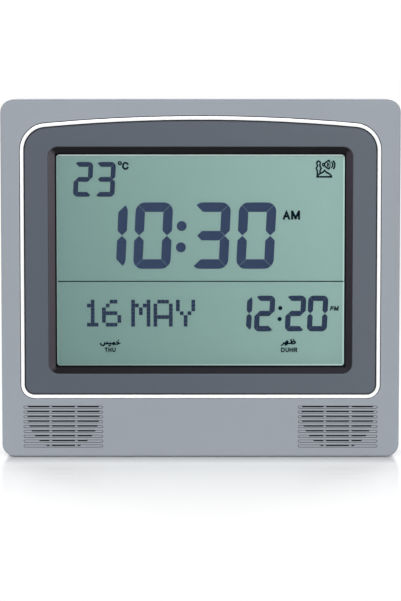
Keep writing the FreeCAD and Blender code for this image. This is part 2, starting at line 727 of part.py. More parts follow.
def display_frame():
    """Moulded frame that holds window, cell and light guide together behind the mask."""
    body = new_body("display_frame")
    add(body, "block", "mask_rear", "board_face", lambda s: rectangle(
        s, "-91", "91", "44.7", "175.6", "2"))
    cut(body, "pocket", "mask_rear", f"{GUIDE_REAR} + 0.1", lambda s: rectangle(
        s, "0 - cell_half - 0.2", "cell_half + 0.2", "cell_low - 0.1", "172.3"))
    cut(body, "window", f"{GUIDE_REAR} + 0.1", "board_face", lambda s: rectangle(
        s, "-80", "80", "cell_low - 0.1", "166", "2"))
    return body


# ---------------------------------------------------------------- electronics


def main_board():
    """Printed circuit board over the whole back of the display."""
    body = slab("main_board", "board_face", BOARD_REAR, "-98", "98", "46", "176", "2")
    cut(body, "screw_holes", "board_face", BOARD_REAR,
        lambda s: [circle(s, across, up, "1.15") for across, up in BOARD_POSTS])
    return body


def screws(label, places, seat, head_radius, head_height, shaft_radius, tip, cross_depth="0.8"):
    """Equal cross-head screws whose heads stand behind their seat and whose tips point forwards."""
    body = new_body(label)
    add(body, "shafts", tip, seat, lambda s: [circle(s, across, up, shaft_radius) for across, up in places])
    add(body, "heads", seat, f"{seat} + {head_height}",
        lambda s: [circle(s, across, up, head_radius) for across, up in places])
    arm = f"({head_radius}) * 0.55"

    def crosses(outline):
        for across, up in places:
            narrow = "0.22"
            corners = (
                (narrow, narrow), (arm, narrow), (arm, f"-{narrow}"), (narrow, f"-{narrow}"),
                (narrow, f"-{arm}"), (f"-{narrow}", f"-{arm}"), (f"-{narrow}", f"-{narrow}"),
                (f"-{arm}", f"-{narrow}"), (f"-{arm}", narrow), (f"-{narrow}", narrow),
                (f"-{narrow}", arm), (narrow, arm),
            )
            polygon(outline, [(f"{across} + ({x})", f"{up} + ({z})") for x, z in corners])

    cut(body, "crosses", f"{seat} + {head_height} - {cross_depth}", f"{seat} + {head_height}", crosses)
    return body


def board_screws():
    """Screws that clamp the main board to the dark frame's posts."""
    return screws("board_screws", BOARD_POSTS, BOARD_REAR, "2.2", "1.6", "0.9", "board_face - 6")


def on_board(label, left, low, width, height, rise):
    """A component on the back of the main board."""
    return slab(label, BOARD_REAR, f"{BOARD_REAR} + {rise}", left, f"{left} + {width}",
                low, f"{low} + {height}")


def processor_chip():
    """Clock, calendar and prayer time controller."""
    return on_board("processor_chip", "-28", "112", "14", "14", "1.6")


def memory_chip():
    """Sound memory."""
    return on_board("memory_chip", "2", "116", "5.3", "8", "1.8")


def amplifier_chip():
    """Audio amplifier."""
    return on_board("amplifier_chip", "-60", "62", "5", "6.2", "1.6")


def clock_crystal():
    """Quartz can lying on the board."""
    body = new_body("clock_crystal")
    add(body, "can", BOARD_REAR, f"{BOARD_REAR} + 3.4", lambda s: slot(s, "-46", "-35", "119", "4.6"))
    return body


CAPACITOR_PLACES = (("-72", "66"), ("-72", "75"), ("-48", "60"), ("16", "100"))


def capacitors():
    """Upright electrolytic capacitors."""
    body = new_body("capacitors")
    add(body, "cans", BOARD_REAR, f"{BOARD_REAR} + 4.8",
        lambda s: [circle(s, across, up, "3.15") for across, up in CAPACITOR_PLACES])
    return body


def temperature_sensor():
    """Bead that measures the room's temperature, at the cool lower corner of the board."""
    body = new_body("temperature_sensor")
    add(body, "bead", BOARD_REAR, f"{BOARD_REAR} + 3.4", lambda s: circle(s, "-90", "48.6", "1.6"))
    return body


SPEAKER_HEADER_X = ("-50", "-34")
BATTERY_HEADER_X = "24"
RIBBON_HALF = "10"
RIBBON_LOW = "136"


def wire_headers():
    """Sockets on the main board for the speaker, battery and button board leads."""
    body = new_body("wire_headers")

    def lead_sockets(outline):
        for across in (*SPEAKER_HEADER_X, BATTERY_HEADER_X):
            rectangle(outline, f"{across} - 3", f"{across} + 3", "49", "53.4")

    add(body, "lead_sockets", BOARD_REAR, f"{BOARD_REAR} + 3.6", lead_sockets)
    add(body, "ribbon_socket", BOARD_REAR, f"{BOARD_REAR} + 2", lambda s: rectangle(
        s, f"-{RIBBON_HALF} - 2", f"{RIBBON_HALF} + 2", f"{RIBBON_LOW} - 2.2", f"{RIBBON_LOW} + 2.2"))
    add(body, "button_socket", "keyboard_face - 2", "keyboard_face", lambda s: rectangle(
        s, f"-{RIBBON_HALF} - 2", f"{RIBBON_HALF} + 2", "149", "153.4"))
    return body


# ---------------------------------------------------------------- speakers


TAG_OUT = "13.7"
TAG_REAR = f"({FLANGE_REAR} + 8.2)"


def at_speaker(body, sign):
    """Move a turned piece from the Y axis to its speaker's axis."""
    bind(body, "Placement.Base.x", f"{sign} * speaker_x")
    bind(body, "Placement.Base.z", "speaker_z")
    doc.recompute()
    return body


def speaker_cloth(side, sign):
    """Dust cloth between grille and speaker."""
    body = new_body(f"speaker_cloth_{side}")
    turn(body, "disc", (("0", FLANGE_REAR), ("speaker_radius", FLANGE_REAR),
                        ("speaker_radius", f"{FLANGE_REAR} + 0.2"), ("0", f"{FLANGE_REAR} + 0.2")))
    return at_speaker(body, sign)


def speaker_frame(side, sign):
    """Pressed steel basket: a flat rim, a cone and a floor for the magnet."""
    body = new_body(f"speaker_frame_{side}")
    rim = f"{FLANGE_REAR} + 0.2"
    turn(body, "basket", (
        ("speaker_radius", rim), ("speaker_radius", f"{rim} + 0.9"),
        ("speaker_radius - 1.6", f"{rim} + 0.9"), ("12", f"{rim} + 8"), ("4.2", f"{rim} + 8"),
        ("4.2", f"{rim} + 7.2"), ("11.4", f"{rim} + 7.2"), ("speaker_radius - 2.4", f"{rim} + 0.3"),
        ("speaker_radius - 2.4", rim)))
    tag = f"(0 - {sign} * {TAG_OUT})"
    add(body, "solder_tag", f"{rim} + 6.4", TAG_REAR,
        lambda s: rectangle(s, f"{tag} - 1.5", f"{tag} + 1.5", "-2.6", "2.6"))
    return at_speaker(body, sign)


def speaker_cone(side, sign):
    """Paper cone with its dust cap and voice coil former."""
    body = new_body(f"speaker_cone_{side}")
    rim = f"{FLANGE_REAR} + 0.2"
    turn(body, "paper", (
        ("speaker_radius - 2.8", f"{rim} + 0.1"), ("speaker_radius - 4", f"{rim} + 0.1"),
        ("5", f"{rim} + 4.6"), ("3.4", f"{rim} + 4"), ("0", f"{rim} + 3.2"), ("0", f"{rim} + 3.6"),
        ("3.4", f"{rim} + 4.4"), ("3.4", f"{rim} + 7.9"), ("3.8", f"{rim} + 7.9"),
        ("3.8", f"{rim} + 5.2"), ("5", f"{rim} + 5.1"), ("speaker_radius - 4", f"{rim} + 0.5"),
        ("speaker_radius - 2.8", f"{rim} + 0.5")))
    return at_speaker(body, sign)


def speaker_magnet(side, sign):
    """Ferrite magnet behind the basket."""
    body = new_body(f"speaker_magnet_{side}")
    rear = f"{FLANGE_REAR} + 8.2"
    turn(body, "puck", (("0", rear), ("11", rear), ("11", f"{rear} + 6"), ("0", f"{rear} + 6")))
    return at_speaker(body, sign)


def speaker_screws():
    """Washer-head screws beside the speakers, their heads clamping the rims."""
    return screws("speaker_screws", CLAMPS, f"{FLANGE_REAR} + 1.2", "4.4", "1.4", "1.0",
                  f"{PLATE_REAR} + 0.8")


# ---------------------------------------------------------------- rear cover


def cover_outline(outline, inset):
    """The rear cover's outline: flush with the case below, set in at the sides and the top."""
    half = f"(case_width / 2 - cover_step - ({inset}))"
    rectangle(outline, f"0 - {half}", half, f"case_low + ({inset})", f"case_top - cover_step - ({inset})",
              f"case_corner - ({inset})")


BUTTON_NAMES = ("mode", "hour", "minute", "date", "city", "azan")
BUTTON_PLACES = [f"({number} - 2.5) * button_pitch" for number in range(len(BUTTON_NAMES))]
SWITCHES = (("azan", "0 - switch_x"), ("volume", "switch_x"))
DOOR_TABS = ("door_left + 12", "door_right - 12")
KEYBOARD_POSTS = both_sides((("41", "147.4"), ("41", "173.2")))
VENT_COUNT = 5


def rear_cover():
    """Tray with control panel, keyholes, battery bay, stand leg bay, vents and screw tubes."""
    body = new_body("rear_cover")
    add(body, "block", "shell_rear", "case_depth", lambda s: cover_outline(s, "0"))
    round_edges(body, "back_edge", "cover_edge", at_depth("case_depth"))
    cut(body, "hollow", "shell_rear", COVER_PLATE, lambda s: cover_outline(s, "wall_thickness"))
    lip = "(wall_thickness + 0.2)"
    half = "case_width / 2"
    add(body, "tongue", "shell_rear - 2", "shell_rear + 1.5", lambda s: (
        rectangle(s, f"{lip} - {half}", f"{half} - {lip}", f"case_low + {lip}", f"case_top - {lip}",
                  f"case_corner - {lip}"),
        rectangle(s, f"{lip} + 1.3 - {half}", f"{half} - {lip} - 1.3", f"case_low + {lip} + 1.3",
                  f"case_top - {lip} - 1.3", f"case_corner - {lip} - 1.3")))
    add(body, "screw_tubes", "column_end", COVER_PLATE,
        lambda s: [circle(s, across, up, "tube_radius") for across, up in CASE_COLUMNS])
    add(body, "panel_block", PANEL_REAR, COVER_PLATE, lambda s: rectangle(
        s, "0 - panel_half - 2", "panel_half + 2", "panel_low - 2", "panel_high + 2", "3"))
    add(body, "leg_bay_block", "leg_bay_depth - 2", COVER_PLATE, lambda s: rectangle(
        s, "0 - leg_bay_half - 4", "leg_bay_half + 4", "leg_bay_low - 2", "leg_bay_high + 4", "1.5"))
    add(body, "notch_block", "notch_depth - 2", COVER_PLATE, lambda s: rectangle(
        s, "0 - notch_half - 2", "notch_half + 2", "notch_low - 2", "leg_bay_low + 2", "1.5"))
    add(body, "battery_block", "bay_floor - bay_wall", COVER_PLATE, lambda s: rectangle(
        s, "door_left - 2", "door_right + 2", "door_low - 2", "door_high + 2", "1.5"))
    add(body, "catch_block", "door_face - 2.4", COVER_PLATE, lambda s: rectangle(
        s, f"{DOOR_MIDDLE} - 9.5", f"{DOOR_MIDDLE} + 9.5", "door_high", "door_high + 8.5", "1.5"))

    cut(body, "head_bores", "head_seat", "case_depth",
        lambda s: [circle(s, across, up, "head_bore") for across, up in CASE_COLUMNS])
    cut(body, "screw_holes", "column_end", "head_seat",
        lambda s: [circle(s, across, up, "1.6") for across, up in CASE_COLUMNS])
    cut(body, "panel", "panel_depth", "case_depth", lambda s: rectangle(
        s, "0 - panel_half", "panel_half", "panel_low", "panel_high", "2.5"))
    cut(body, "button_holes", PANEL_REAR, "panel_depth", lambda s: [
        rectangle(s, f"{place} - button_width / 2 - fit_gap", f"{place} + button_width / 2 + fit_gap",
                  "button_z - button_height / 2 - fit_gap", "button_z + button_height / 2 + fit_gap", "1")
        for place in BUTTON_PLACES])
    cut(body, "switch_slots", PANEL_REAR, "panel_depth", lambda s: [
        rectangle(s, f"{place} - switch_travel / 2 - 2.1", f"{place} + switch_travel / 2 + 2.1",
                  "switch_z - 2.1", "switch_z + 2.1", "0.5") for _, place in SWITCHES])
    cut(body, "reset_hole", PANEL_REAR, "panel_depth", lambda s: circle(s, "0", "switch_z", "0.9"))
    cut(body, "leg_bay", "leg_bay_depth", "case_depth", lambda s: rectangle(
        s, "0 - leg_bay_half", "leg_bay_half", "leg_bay_low", "leg_bay_high", "1"))
    cut(body, "finger_notch", "notch_depth", "case_depth", lambda s: rectangle(
        s, "0 - notch_half", "notch_half", "notch_low", "leg_bay_low + 1.5", "3"))
    cut_across(body, "pin_holes", "0 - pin_half", "pin_half", lambda s: circle(
        s, "leg_pin_depth - case_depth / 2", "leg_hinge", "pin_radius + 0.01"))
    cut(body, "door_rebate", "door_face - fit_gap", "case_depth", lambda s: rectangle(
        s, "door_left - fit_gap", "door_right + fit_gap", "door_low - fit_gap", "door_high + fit_gap", "1.8"))
    cut(body, "battery_bay", "bay_floor", "door_face", lambda s: rectangle(
        s, "bay_left", "bay_right", "bay_low", "bay_high", "1"))
    cut(body, "catch_notch", "door_face - 0.2", "case_depth", lambda s: rectangle(
        s, f"{DOOR_MIDDLE} - 7.5", f"{DOOR_MIDDLE} + 7.5", "door_high - 1", "door_high + 6.5", "2"))
    cut(body, "tab_slots", "door_face - 2.8", COVER_PLATE, lambda s: [
        rectangle(s, f"{place} - 4.4", f"{place} + 4.4", "door_low - 1.9", "bay_low + 0.5")
        for place in DOOR_TABS])
    cut(body, "tab_mouths", f"{COVER_PLATE} - 0.1", "door_face", lambda s: [
        rectangle(s, f"{place} - 4.4", f"{place} + 4.4", "door_low - fit_gap", "bay_low + 0.5")
        for place in DOOR_TABS])
    cut(body, "keyhole_mouths", COVER_PLATE, "case_depth", lambda s: [
        circle(s, f"{side} * keyhole_x", "keyhole_z", "keyhole_mouth") for side in (-1, 1)])
    cut(body, "keyhole_necks", COVER_PLATE, "case_depth", lambda s: [
        rectangle(s, f"{side} * keyhole_x - keyhole_neck", f"{side} * keyhole_x + keyhole_neck",
                  "keyhole_z + 2", "keyhole_z + keyhole_rise", "keyhole_neck - 0.05") for side in (-1, 1)])
    cut(body, "vents", COVER_PLATE, "case_depth", lambda s: [
        slot(s, f"{side} * vent_x - 15", f"{side} * vent_x + 15", f"vent_low + {row} * vent_pitch", "2.2")
        for side in (-1, 1) for row in range(VENT_COUNT)])
    cut(body, "label_recess", "case_depth - 0.4", "case_depth", lambda s: rectangle(
        s, "-96", "-36", "50", "94", "2"))
    add(body, "keyboard_posts", KEYBOARD_REAR, PANEL_REAR,
        lambda s: [circle(s, across, up, "2.4") for across, up in KEYBOARD_POSTS])
    cut(body, "keyboard_pilots", KEYBOARD_REAR, f"{KEYBOARD_REAR} + 6",
        lambda s: [circle(s, across, up, "0.95") for across, up in KEYBOARD_POSTS])
    add(body, "keyhole_shrouds", "30", COVER_PLATE, keyhole_shrouds)

    def foot_sockets(outline):
        for side in (-1, 1):
            circle(outline, f"{side} * foot_x", "foot_back - case_depth / 2", "foot_radius + 0.05")

    cut_from_below(body, "foot_sockets", foot_sockets)
    return body


DOOR_MIDDLE = "(door_left / 2 + door_right / 2)"


def keyhole_shrouds(outline):
    """Low walls around each keyhole, which keep a screw head away from the boards."""
    for side in (-1, 1):
        place = f"{side} * keyhole_x"
        rectangle(outline, f"{place} - 8", f"{place} + 8", "keyhole_z - 8", "keyhole_z + 13.5", "3")
        rectangle(outline, f"{place} - 6.8", f"{place} + 6.8", "keyhole_z - 6.8", "keyhole_z + 12.3", "1.8")


def case_screws():
    """Self-tapping screws that pull the rear cover on to the front shell."""
    return screws("case_screws", CASE_COLUMNS, "head_seat", "2.7", "2.0", "1.2", "column_end - 13", "1.2")


def feet():
    """Rubber feet glued into sockets in the underside."""
    body = new_body("feet")
    discs = body.newObject("PartDesign::Pad", "foot_discs")
    discs.Profile = new_sketch(body, "foot_outlines", lambda s: [
        circle(s, f"{side} * foot_x", f"{depth} - case_depth / 2", "foot_radius")
        for side in (-1, 1) for depth in ("foot_front", "foot_back")], "XY_Plane")
    bind(discs, "Length", "case_low + foot_socket")
    doc.recompute()
    return body


# ---------------------------------------------------------------- batteries and their door

CELL_ROWS = [f"(bay_low + bay_high) / 2 + {row} * cell_pitch" for row in (-1, 0, 1)]
CONTACT = 0.5
SPRING_RADIUS = 4.0
SPRING_WIRE = 0.3
SPRING_PITCH = 1.7
SPRING_HEIGHT = 5.3
SPRING_TAPER = 14.0


def battery(number):
    """Size AA cell lying across the bay; the outer two point the same way, the middle one back."""
    body = new_body(f"battery_{number}")
    height = CELL_ROWS[number - 1]
    across = f"{CELL_AXIS} - case_depth / 2"
    turned_round = number == 2
    start = (f"(bay_left + {CONTACT} + cell_button)" if turned_round
             else f"(bay_right - {CONTACT} - cell_button - cell_length)")
    button = f"({start} - cell_button)" if turned_round else f"({start} + cell_length)"
    add_across(body, "jacket", start, f"{start} + cell_length",
               lambda s: circle(s, across, height, "cell_radius"))
    round_edges(body, "shoulders", "0.6", lambda edge: edge.BoundBox.XLength < 1e-4)
    add_across(body, "button", button, f"{button} + cell_button",
               lambda s: circle(s, across, height, "2.7"))
    return body


def battery_springs():
    """Coiled negative contacts, wound to a taper."""
    group = doc.addObject("Part::Compound", "battery_springs")
    group.Label = "battery_springs"
    coils = []
    for number, height in enumerate(CELL_ROWS, start=1):
        coil = doc.addObject("Part::Helix", f"spring_line_{number}")
        coil.Pitch = SPRING_PITCH
        coil.Height = SPRING_HEIGHT
        coil.Radius = SPRING_RADIUS
        coil.Angle = -SPRING_TAPER
        wire = doc.addObject("Part::Circle", f"spring_wire_{number}")
        wire.Radius = SPRING_WIRE
        wire.Placement.Base = Vector(SPRING_RADIUS, 0, 0)
        wire.Placement.Rotation = Rotation(Vector(1, 0, 0), 90)
        spring = doc.addObject("Part::Sweep", f"spring_{number}")
        spring.Sections = [wire]
        spring.Spine = (coil, ["Edge1"])
        spring.Solid = True
        spring.Frenet = True
        doc.recompute()
        turned_round = number == 2
        spring.Placement.Rotation = Rotation(Vector(0, 1, 0), -90 if turned_round else 90)
        foot = CONTACT + SPRING_WIRE + 0.05
        place = f"bay_right - {foot}" if turned_round else f"bay_left + {foot}"
        bind(spring, "Placement.Base.x", place)
        bind(spring, "Placement.Base.y", f"{CELL_AXIS} - case_depth / 2")
        bind(spring, "Placement.Base.z", height)
        coils.append(spring)
    group.Links = coils
    doc.recompute()
    return group


def battery_plates():
    """Contact plates at both ends of the bay."""
    body = new_body("battery_plates")
    front = "bay_floor + 1.5"
    rear = "bay_floor + 13.5"
    for name, left in (("left", "bay_left"), ("right", f"bay_right - {CONTACT}")):
        add(body, f"{name}_plates", front, rear, lambda s: [
            rectangle(s, left, f"{left} + {CONTACT}", f"{height} - 5", f"{height} + 5")
            for height in CELL_ROWS])
    return body


def battery_door():
    """Flush door with two tabs under its lower edge and a pull at its upper edge."""
    body = new_body("battery_door")
    add(body, "plate", "door_face", "case_depth", lambda s: rectangle(
        s, "door_left", "door_right", "door_low", "door_high", "1.5"))
    add(body, "pull", "door_face + 0.2", "case_depth - 0.2", lambda s: rectangle(
        s, f"{DOOR_MIDDLE} - 6", f"{DOOR_MIDDLE} + 6", "door_high - 2", "door_high + 2.6", "1.2"))
    add(body, "tabs", "door_face - 2.2", "door_face - 0.7", lambda s: [
        rectangle(s, f"{place} - 4", f"{place} + 4", "door_low - 1.5", "bay_low + 0.2")
        for place in DOOR_TABS])
    add(body, "tab_roots", "door_face - 0.7", "door_face", lambda s: [
        rectangle(s, f"{place} - 4", f"{place} + 4", "door_low + 0.3", "bay_low + 0.2")
        for place in DOOR_TABS])
    return body


# ---------------------------------------------------------------- stand leg


def stand_leg():
    """Flat leg that swings out of its bay about the stand pin."""
    body = new_body("stand_leg")
    face = "(leg_pin_depth + leg_barrel - case_depth / 2)"
    add_across(body, "plate", "0 - leg_half", "leg_half", lambda s: rectangle(
        s, f"{face} - leg_thickness", face, "leg_low", "leg_hinge"))
    tip = value("leg_low")
    round_edges(body, "tip_corners", "5",
                lambda edge: edge.BoundBox.YLength > 1 and abs(edge.BoundBox.ZMax - tip) < 1e-3)
    add_across(body, "knuckle", "0 - leg_half", "leg_half", lambda s: circle(
        s, "leg_pin_depth - case_depth / 2", "leg_hinge", "leg_barrel"))
    cut_across(body, "bore", "0 - leg_half", "leg_half", lambda s: circle(
        s, "leg_pin_depth - case_depth / 2", "leg_hinge", "pin_radius + pin_play"))
    inner = "(leg_pin_depth + leg_barrel - leg_thickness)"
    cut(body, "hollows", inner, f"{inner} + 1.4", lambda s: [
        rectangle(s, f"{side} * 10.4 - 8", f"{side} * 10.4 + 8", "leg_low + 10", "leg_hinge - 10", "3")
        for side in (-1, 1)])
    return body


def stand_pin():
    """Steel pin held in the walls of the leg's bay."""
    body = new_body("stand_pin")
    add_across(body, "rod", "0 - pin_half", "pin_half", lambda s: circle(
        s, "leg_pin_depth - case_depth / 2", "leg_hinge", "pin_radius"))
    return body


# ---------------------------------------------------------------- controls


def button(name, place):
    """Push button: cap through the panel, flange behind it and a stem towards its switch."""
    body = new_body(f"{name}_button")
    add(body, "cap", f"{PANEL_REAR} - 1.1", "button_crown", lambda s: rectangle(
        s, f"{place} - button_width / 2", f"{place} + button_width / 2",
        "button_z - button_height / 2", "button_z + button_height / 2", "0.8"))
    round_edges(body, "crown", "0.4", at_depth("button_crown"))
    add(body, "flange", f"{PANEL_REAR} - 1.1", f"{PANEL_REAR} - 0.1", lambda s: rectangle(
        s, f"{place} - button_width / 2 - 1", f"{place} + button_width / 2 + 1",
        "button_z - button_height / 2 - 1", "button_z + button_height / 2 + 1", "0.8"))
    add(body, "stem", f"{PANEL_REAR} - 2.6", f"{PANEL_REAR} - 1.1",
        lambda s: circle(s, place, "button_z", "2"))
    return body


def tact_switches():
    """Small push switches on the button board, one behind each button and the reset hole."""
    body = new_body("tact_switches")
    switches = [(place, "button_z") for place in BUTTON_PLACES] + [("0", "switch_z")]
    add(body, "cases", KEYBOARD_REAR, f"{KEYBOARD_REAR} + 2.4", lambda s: [
        rectangle(s, f"{across} - 3", f"{across} + 3", f"{up} - 3", f"{up} + 3") for across, up in switches])
    add(body, "plungers", f"{KEYBOARD_REAR} + 2.4", f"{KEYBOARD_REAR} + 3",
        lambda s: [circle(s, across, up, "1.7") for across, up in switches])
    return body


def button_board():
    """Circuit board of the control panel, screwed to the rear cover's posts."""
    body = slab("button_board", "keyboard_face", KEYBOARD_REAR, "-44", "44", "144.4", "176.2", "1.5")
    cut(body, "screw_holes", "keyboard_face", KEYBOARD_REAR,
        lambda s: [circle(s, across, up, "1.15") for across, up in KEYBOARD_POSTS])
    return body


def button_screws():
    """Screws through the button board, driven from inside the case."""
    body = new_body("button_screws")
    add(body, "heads", "keyboard_face - 1.5", "keyboard_face",
        lambda s: [circle(s, across, up, "2.1") for across, up in KEYBOARD_POSTS])
    add(body, "shafts", "keyboard_face", f"{KEYBOARD_REAR} + 5",
        lambda s: [circle(s, across, up, "0.9") for across, up in KEYBOARD_POSTS])
    return body


def switch_housings():
    """Metal housings of the two slide switches."""
    body = new_body("switch_housings")
    add(body, "cases", KEYBOARD_REAR, f"{KEYBOARD_REAR} + 4", lambda s: [
        rectangle(s, f"{place} - 6", f"{place} + 6", "switch_z - 2.6", "switch_z + 2.6")
        for _, place in SWITCHES])
    return body


def switch_knob(name, place):
    """Slide switch knob at the near end of its travel: a finger pad on a broad shoe."""
    body = new_body(f"{name}_switch_knob")
    at_rest = f"({place} - switch_travel / 2)"
    add(body, "shoe", f"{PANEL_REAR} - 1.5", f"{PANEL_REAR} - 0.3", lambda s: rectangle(
        s, f"{at_rest} - 6.8", f"{at_rest} + 6.8", "switch_z - 3.2", "switch_z + 3.2", "0.5"))
    add(body, "pad", f"{PANEL_REAR} - 0.3", "button_crown", lambda s: rectangle(
        s, f"{at_rest} - 1.8", f"{at_rest} + 1.8", "switch_z - 1.8", "switch_z + 1.8", "0.3"))
    add(body, "stub", f"{PANEL_REAR} - 2.4", f"{PANEL_REAR} - 1.5", lambda s: rectangle(
        s, f"{at_rest} - 1.4", f"{at_rest} + 1.4", "switch_z - 1", "switch_z + 1"))
    return body


# ---------------------------------------------------------------- leads


def lead_path(corners):
    """Straight runs between the corners, which are rounded by tangent arcs."""
    edges = []
    start = corners[0]
    for before, corner, after in zip(corners, corners[1:], corners[2:]):
        back = before - corner
        ahead = after - corner
        setback = BEND_SHARE * min(back.Length, ahead.Length)
        back.normalize()
        ahead.normalize()
        inward = (back + ahead).normalize()
        lean = inward.dot(back)
        reach = setback / lean
        radius = reach * (1 - lean ** 2) ** 0.5
        entry = corner + back * setback
        leave = corner + ahead * setback
        edges.append(Part.LineSegment(start, entry).toShape())
        edges.append(Part.Arc(entry, corner + inward * (reach - radius), leave).toShape())
        start = leave
    edges.append(Part.LineSegment(start, corners[-1]).toShape())
    return Part.Wire(edges)


def leads(label, routes):
    """A group of round insulated wires along the given routes of (x, depth, z)."""
    wires = []
    for route in routes:
        points = [Vector(value(x), value(f"({depth}) - case_depth / 2"), value(z)) for x, depth, z in route]
        end = Part.Circle(points[0], points[1] - points[0], LEAD_RADIUS)
        wires.append(lead_path(points).makePipeShell([Part.Wire(end.toShape())], True, False))
    group = doc.addObject("Part::Feature", label)
    group.Label = label
    group.Shape = Part.Compound(wires)
    return group


LEAD_RADIUS = 0.6
BEND_SHARE = 0.45
LEAD_PAIR = (-1.2, 1.2)


def speaker_leads():
    """Two wires from each speaker's solder tag to its header on the main board."""
    routes = []
    tag = f"(speaker_x - {TAG_OUT})"
    left, right = SPEAKER_HEADER_X
    for offset in LEAD_PAIR:
        height = f"speaker_z + {offset}"
        near = f"{left} - {offset}"
        far = f"{right} + {offset}"
        routes.append((
            (f"0 - {tag}", TAG_REAR, height), (f"0 - {tag}", "19.4", height),
            (f"{near} - 6", "20.2", f"36 + {offset}"), (near, "18.4", "42.5"), (near, "18.4", "49")))
        routes.append((
            (tag, TAG_REAR, height), (tag, "19.6", height), ("46", "20.6", f"36 + {offset}"),
            ("22", "20.8", f"40 + {offset}"), ("-4", "20.6", f"39 + {offset}"),
            (f"{far} + 9", "20.4", f"38 + {offset}"), (far, "18.4", "42.5"), (far, "18.4", "49")))
    return leads("speaker_leads", routes)


def battery_leads():
    """Two wires from the wall of the battery bay to their header on the main board."""
    routes = []
    wall = "door_left - 2"
    for offset in LEAD_PAIR:
        header = f"{BATTERY_HEADER_X} + {offset}"
        height = f"60 + {offset}"
        routes.append((
            (wall, f"30 + {offset}", height), (f"{header} + 1", f"30 + {offset}", height),
            (header, f"27 + {offset}", f"47 + {offset}"), (header, "18.4", "41.5"), (header, "18.4", "49")))
    return leads("battery_leads", routes)


def board_ribbon():
    """Flat ribbon from the main board to the button board."""
    body = new_body("board_ribbon")
    half_depth = "case_depth / 2"
    thickness = "0.35"
    low = f"{BOARD_REAR} + 2 - {half_depth}"
    high = f"keyboard_face - 2 - {half_depth}"
    add_across(body, "ribbon", f"0 - {RIBBON_HALF}", RIBBON_HALF, lambda s: polygon(s, (
        (low, RIBBON_LOW), (f"{low} + 3", f"{RIBBON_LOW} + 0.8"), (f"{high} - 3", "150.2"), (high, "151"),
        (high, f"151 + {thickness}"), (f"{high} - 3.1", f"150.2 + {thickness}"),
        (f"{low} + 2.9", f"{RIBBON_LOW} + 0.8 + {thickness}"), (low, f"{RIBBON_LOW} + {thickness}"))))
    return body


# ---------------------------------------------------------------- the whole clock

pieces = [
    front_shell(), trim_ring(), inner_bezel(), display_mask(), display_window(), lcd_front_glass(),
    lcd_rear_glass(), lcd_diffuser(), light_guide(), backlight_board(), backlight_leds(), connector_strip(),
    display_frame(), main_board(), board_screws(), processor_chip(), memory_chip(), amplifier_chip(),
    clock_crystal(), capacitors(), temperature_sensor(), wire_headers(), speaker_screws(), rear_cover(),
    case_screws(), feet(), battery(1), battery(2), battery(3), battery_springs(), battery_plates(),
    battery_door(), stand_leg(), stand_pin(), tact_switches(), button_board(), button_screws(),
    switch_housings(), speaker_leads(), battery_leads(), board_ribbon(),
]
for side_name, side_sign in SPEAKERS:
    for make in (speaker_cloth, speaker_frame, speaker_cone, speaker_magnet):
        pieces.append(make(side_name, side_sign))
pieces += [button(name, place) for name, place in zip(BUTTON_NAMES, BUTTON_PLACES)]
pieces += [switch_knob(name, place) for name, place in SWITCHES]

doc.recompute()
for item in doc.Objects:
    if "Invalid" in item.State or "Error" in item.State:
        raise RuntimeError(f"{item.Name} did not build: {item.State}")
for piece in pieces:
    if piece.Shape.isNull() or not piece.Shape.isValid():
        raise RuntimeError(f"{piece.Label} has no valid shape")

os.makedirs("parts", exist_ok=True)
for piece in pieces:
    piece.Shape.exportStep(os.path.join("parts", piece.Label + ".step"))
print(len(pieces), "parts written")
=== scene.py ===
"""Azan clock: finishes, display figures, control legends, studio light and camera."""
import math

import bmesh
import bpy
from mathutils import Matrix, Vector


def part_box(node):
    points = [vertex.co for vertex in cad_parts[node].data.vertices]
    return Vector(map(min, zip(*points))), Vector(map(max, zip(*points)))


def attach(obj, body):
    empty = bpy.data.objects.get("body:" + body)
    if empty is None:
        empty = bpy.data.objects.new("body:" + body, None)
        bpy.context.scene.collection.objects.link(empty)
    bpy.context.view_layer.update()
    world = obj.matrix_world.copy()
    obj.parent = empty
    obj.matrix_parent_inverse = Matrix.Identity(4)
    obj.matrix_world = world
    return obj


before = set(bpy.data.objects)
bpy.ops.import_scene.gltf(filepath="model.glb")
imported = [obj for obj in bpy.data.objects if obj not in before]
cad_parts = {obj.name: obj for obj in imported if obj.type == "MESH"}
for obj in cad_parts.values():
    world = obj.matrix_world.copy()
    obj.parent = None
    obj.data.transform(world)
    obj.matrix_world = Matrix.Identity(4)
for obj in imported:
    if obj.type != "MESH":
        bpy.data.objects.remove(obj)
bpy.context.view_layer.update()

MM = 0.001

# Places are in millimetres: X, the depth behind the trim ring's crown, and Z above the table.
# The crown is as far in front of the clock's middle as the case's back is behind it.
HALF_DEPTH = round(-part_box("trim_ring")[0].y / MM, 3)

DISPLAY_HALF = 80.0
DISPLAY_LOW = 50.4
DISPLAY_HIGH = 168.2
FIGURE_DEPTHS = (7.48, 7.62)

# The front plate inside its soft edge, and the depths between which painted shade darkens its slots
# and turns the slate frame's joint black.
PLATE_HALF = 104.0
PLATE_LOW = 4.5
PLATE_HIGH = 193.5
PLATE_EDGE = 0.5
SLOT_SHADE_DEPTHS = (0.75, 0.95)
JOINT_SHADE_DEPTHS = (2.3, 2.6)

# Distances outside the display's edge, inside it where negative: each finish begins at the first
# and is full at the second. The lip's black is painted shade and the rim's paleness a painted highlight.
LIP_SHADE_FADE = (0.8, 0.4)
RIM_HIGHLIGHT_FADE = (-1.1, -0.7)
SEAL_FADE = (-0.2, -0.13)


def at(x, depth, z):
    """A point given in millimetres."""
    return Vector((x * MM, (depth - HALF_DEPTH) * MM, z * MM))


def middle(node):
    """Middle of a CAD node, as X and Z in millimetres."""
    low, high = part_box(node)
    return tuple(round((low[axis] + high[axis]) / 2 / MM, 3) for axis in (0, 2))


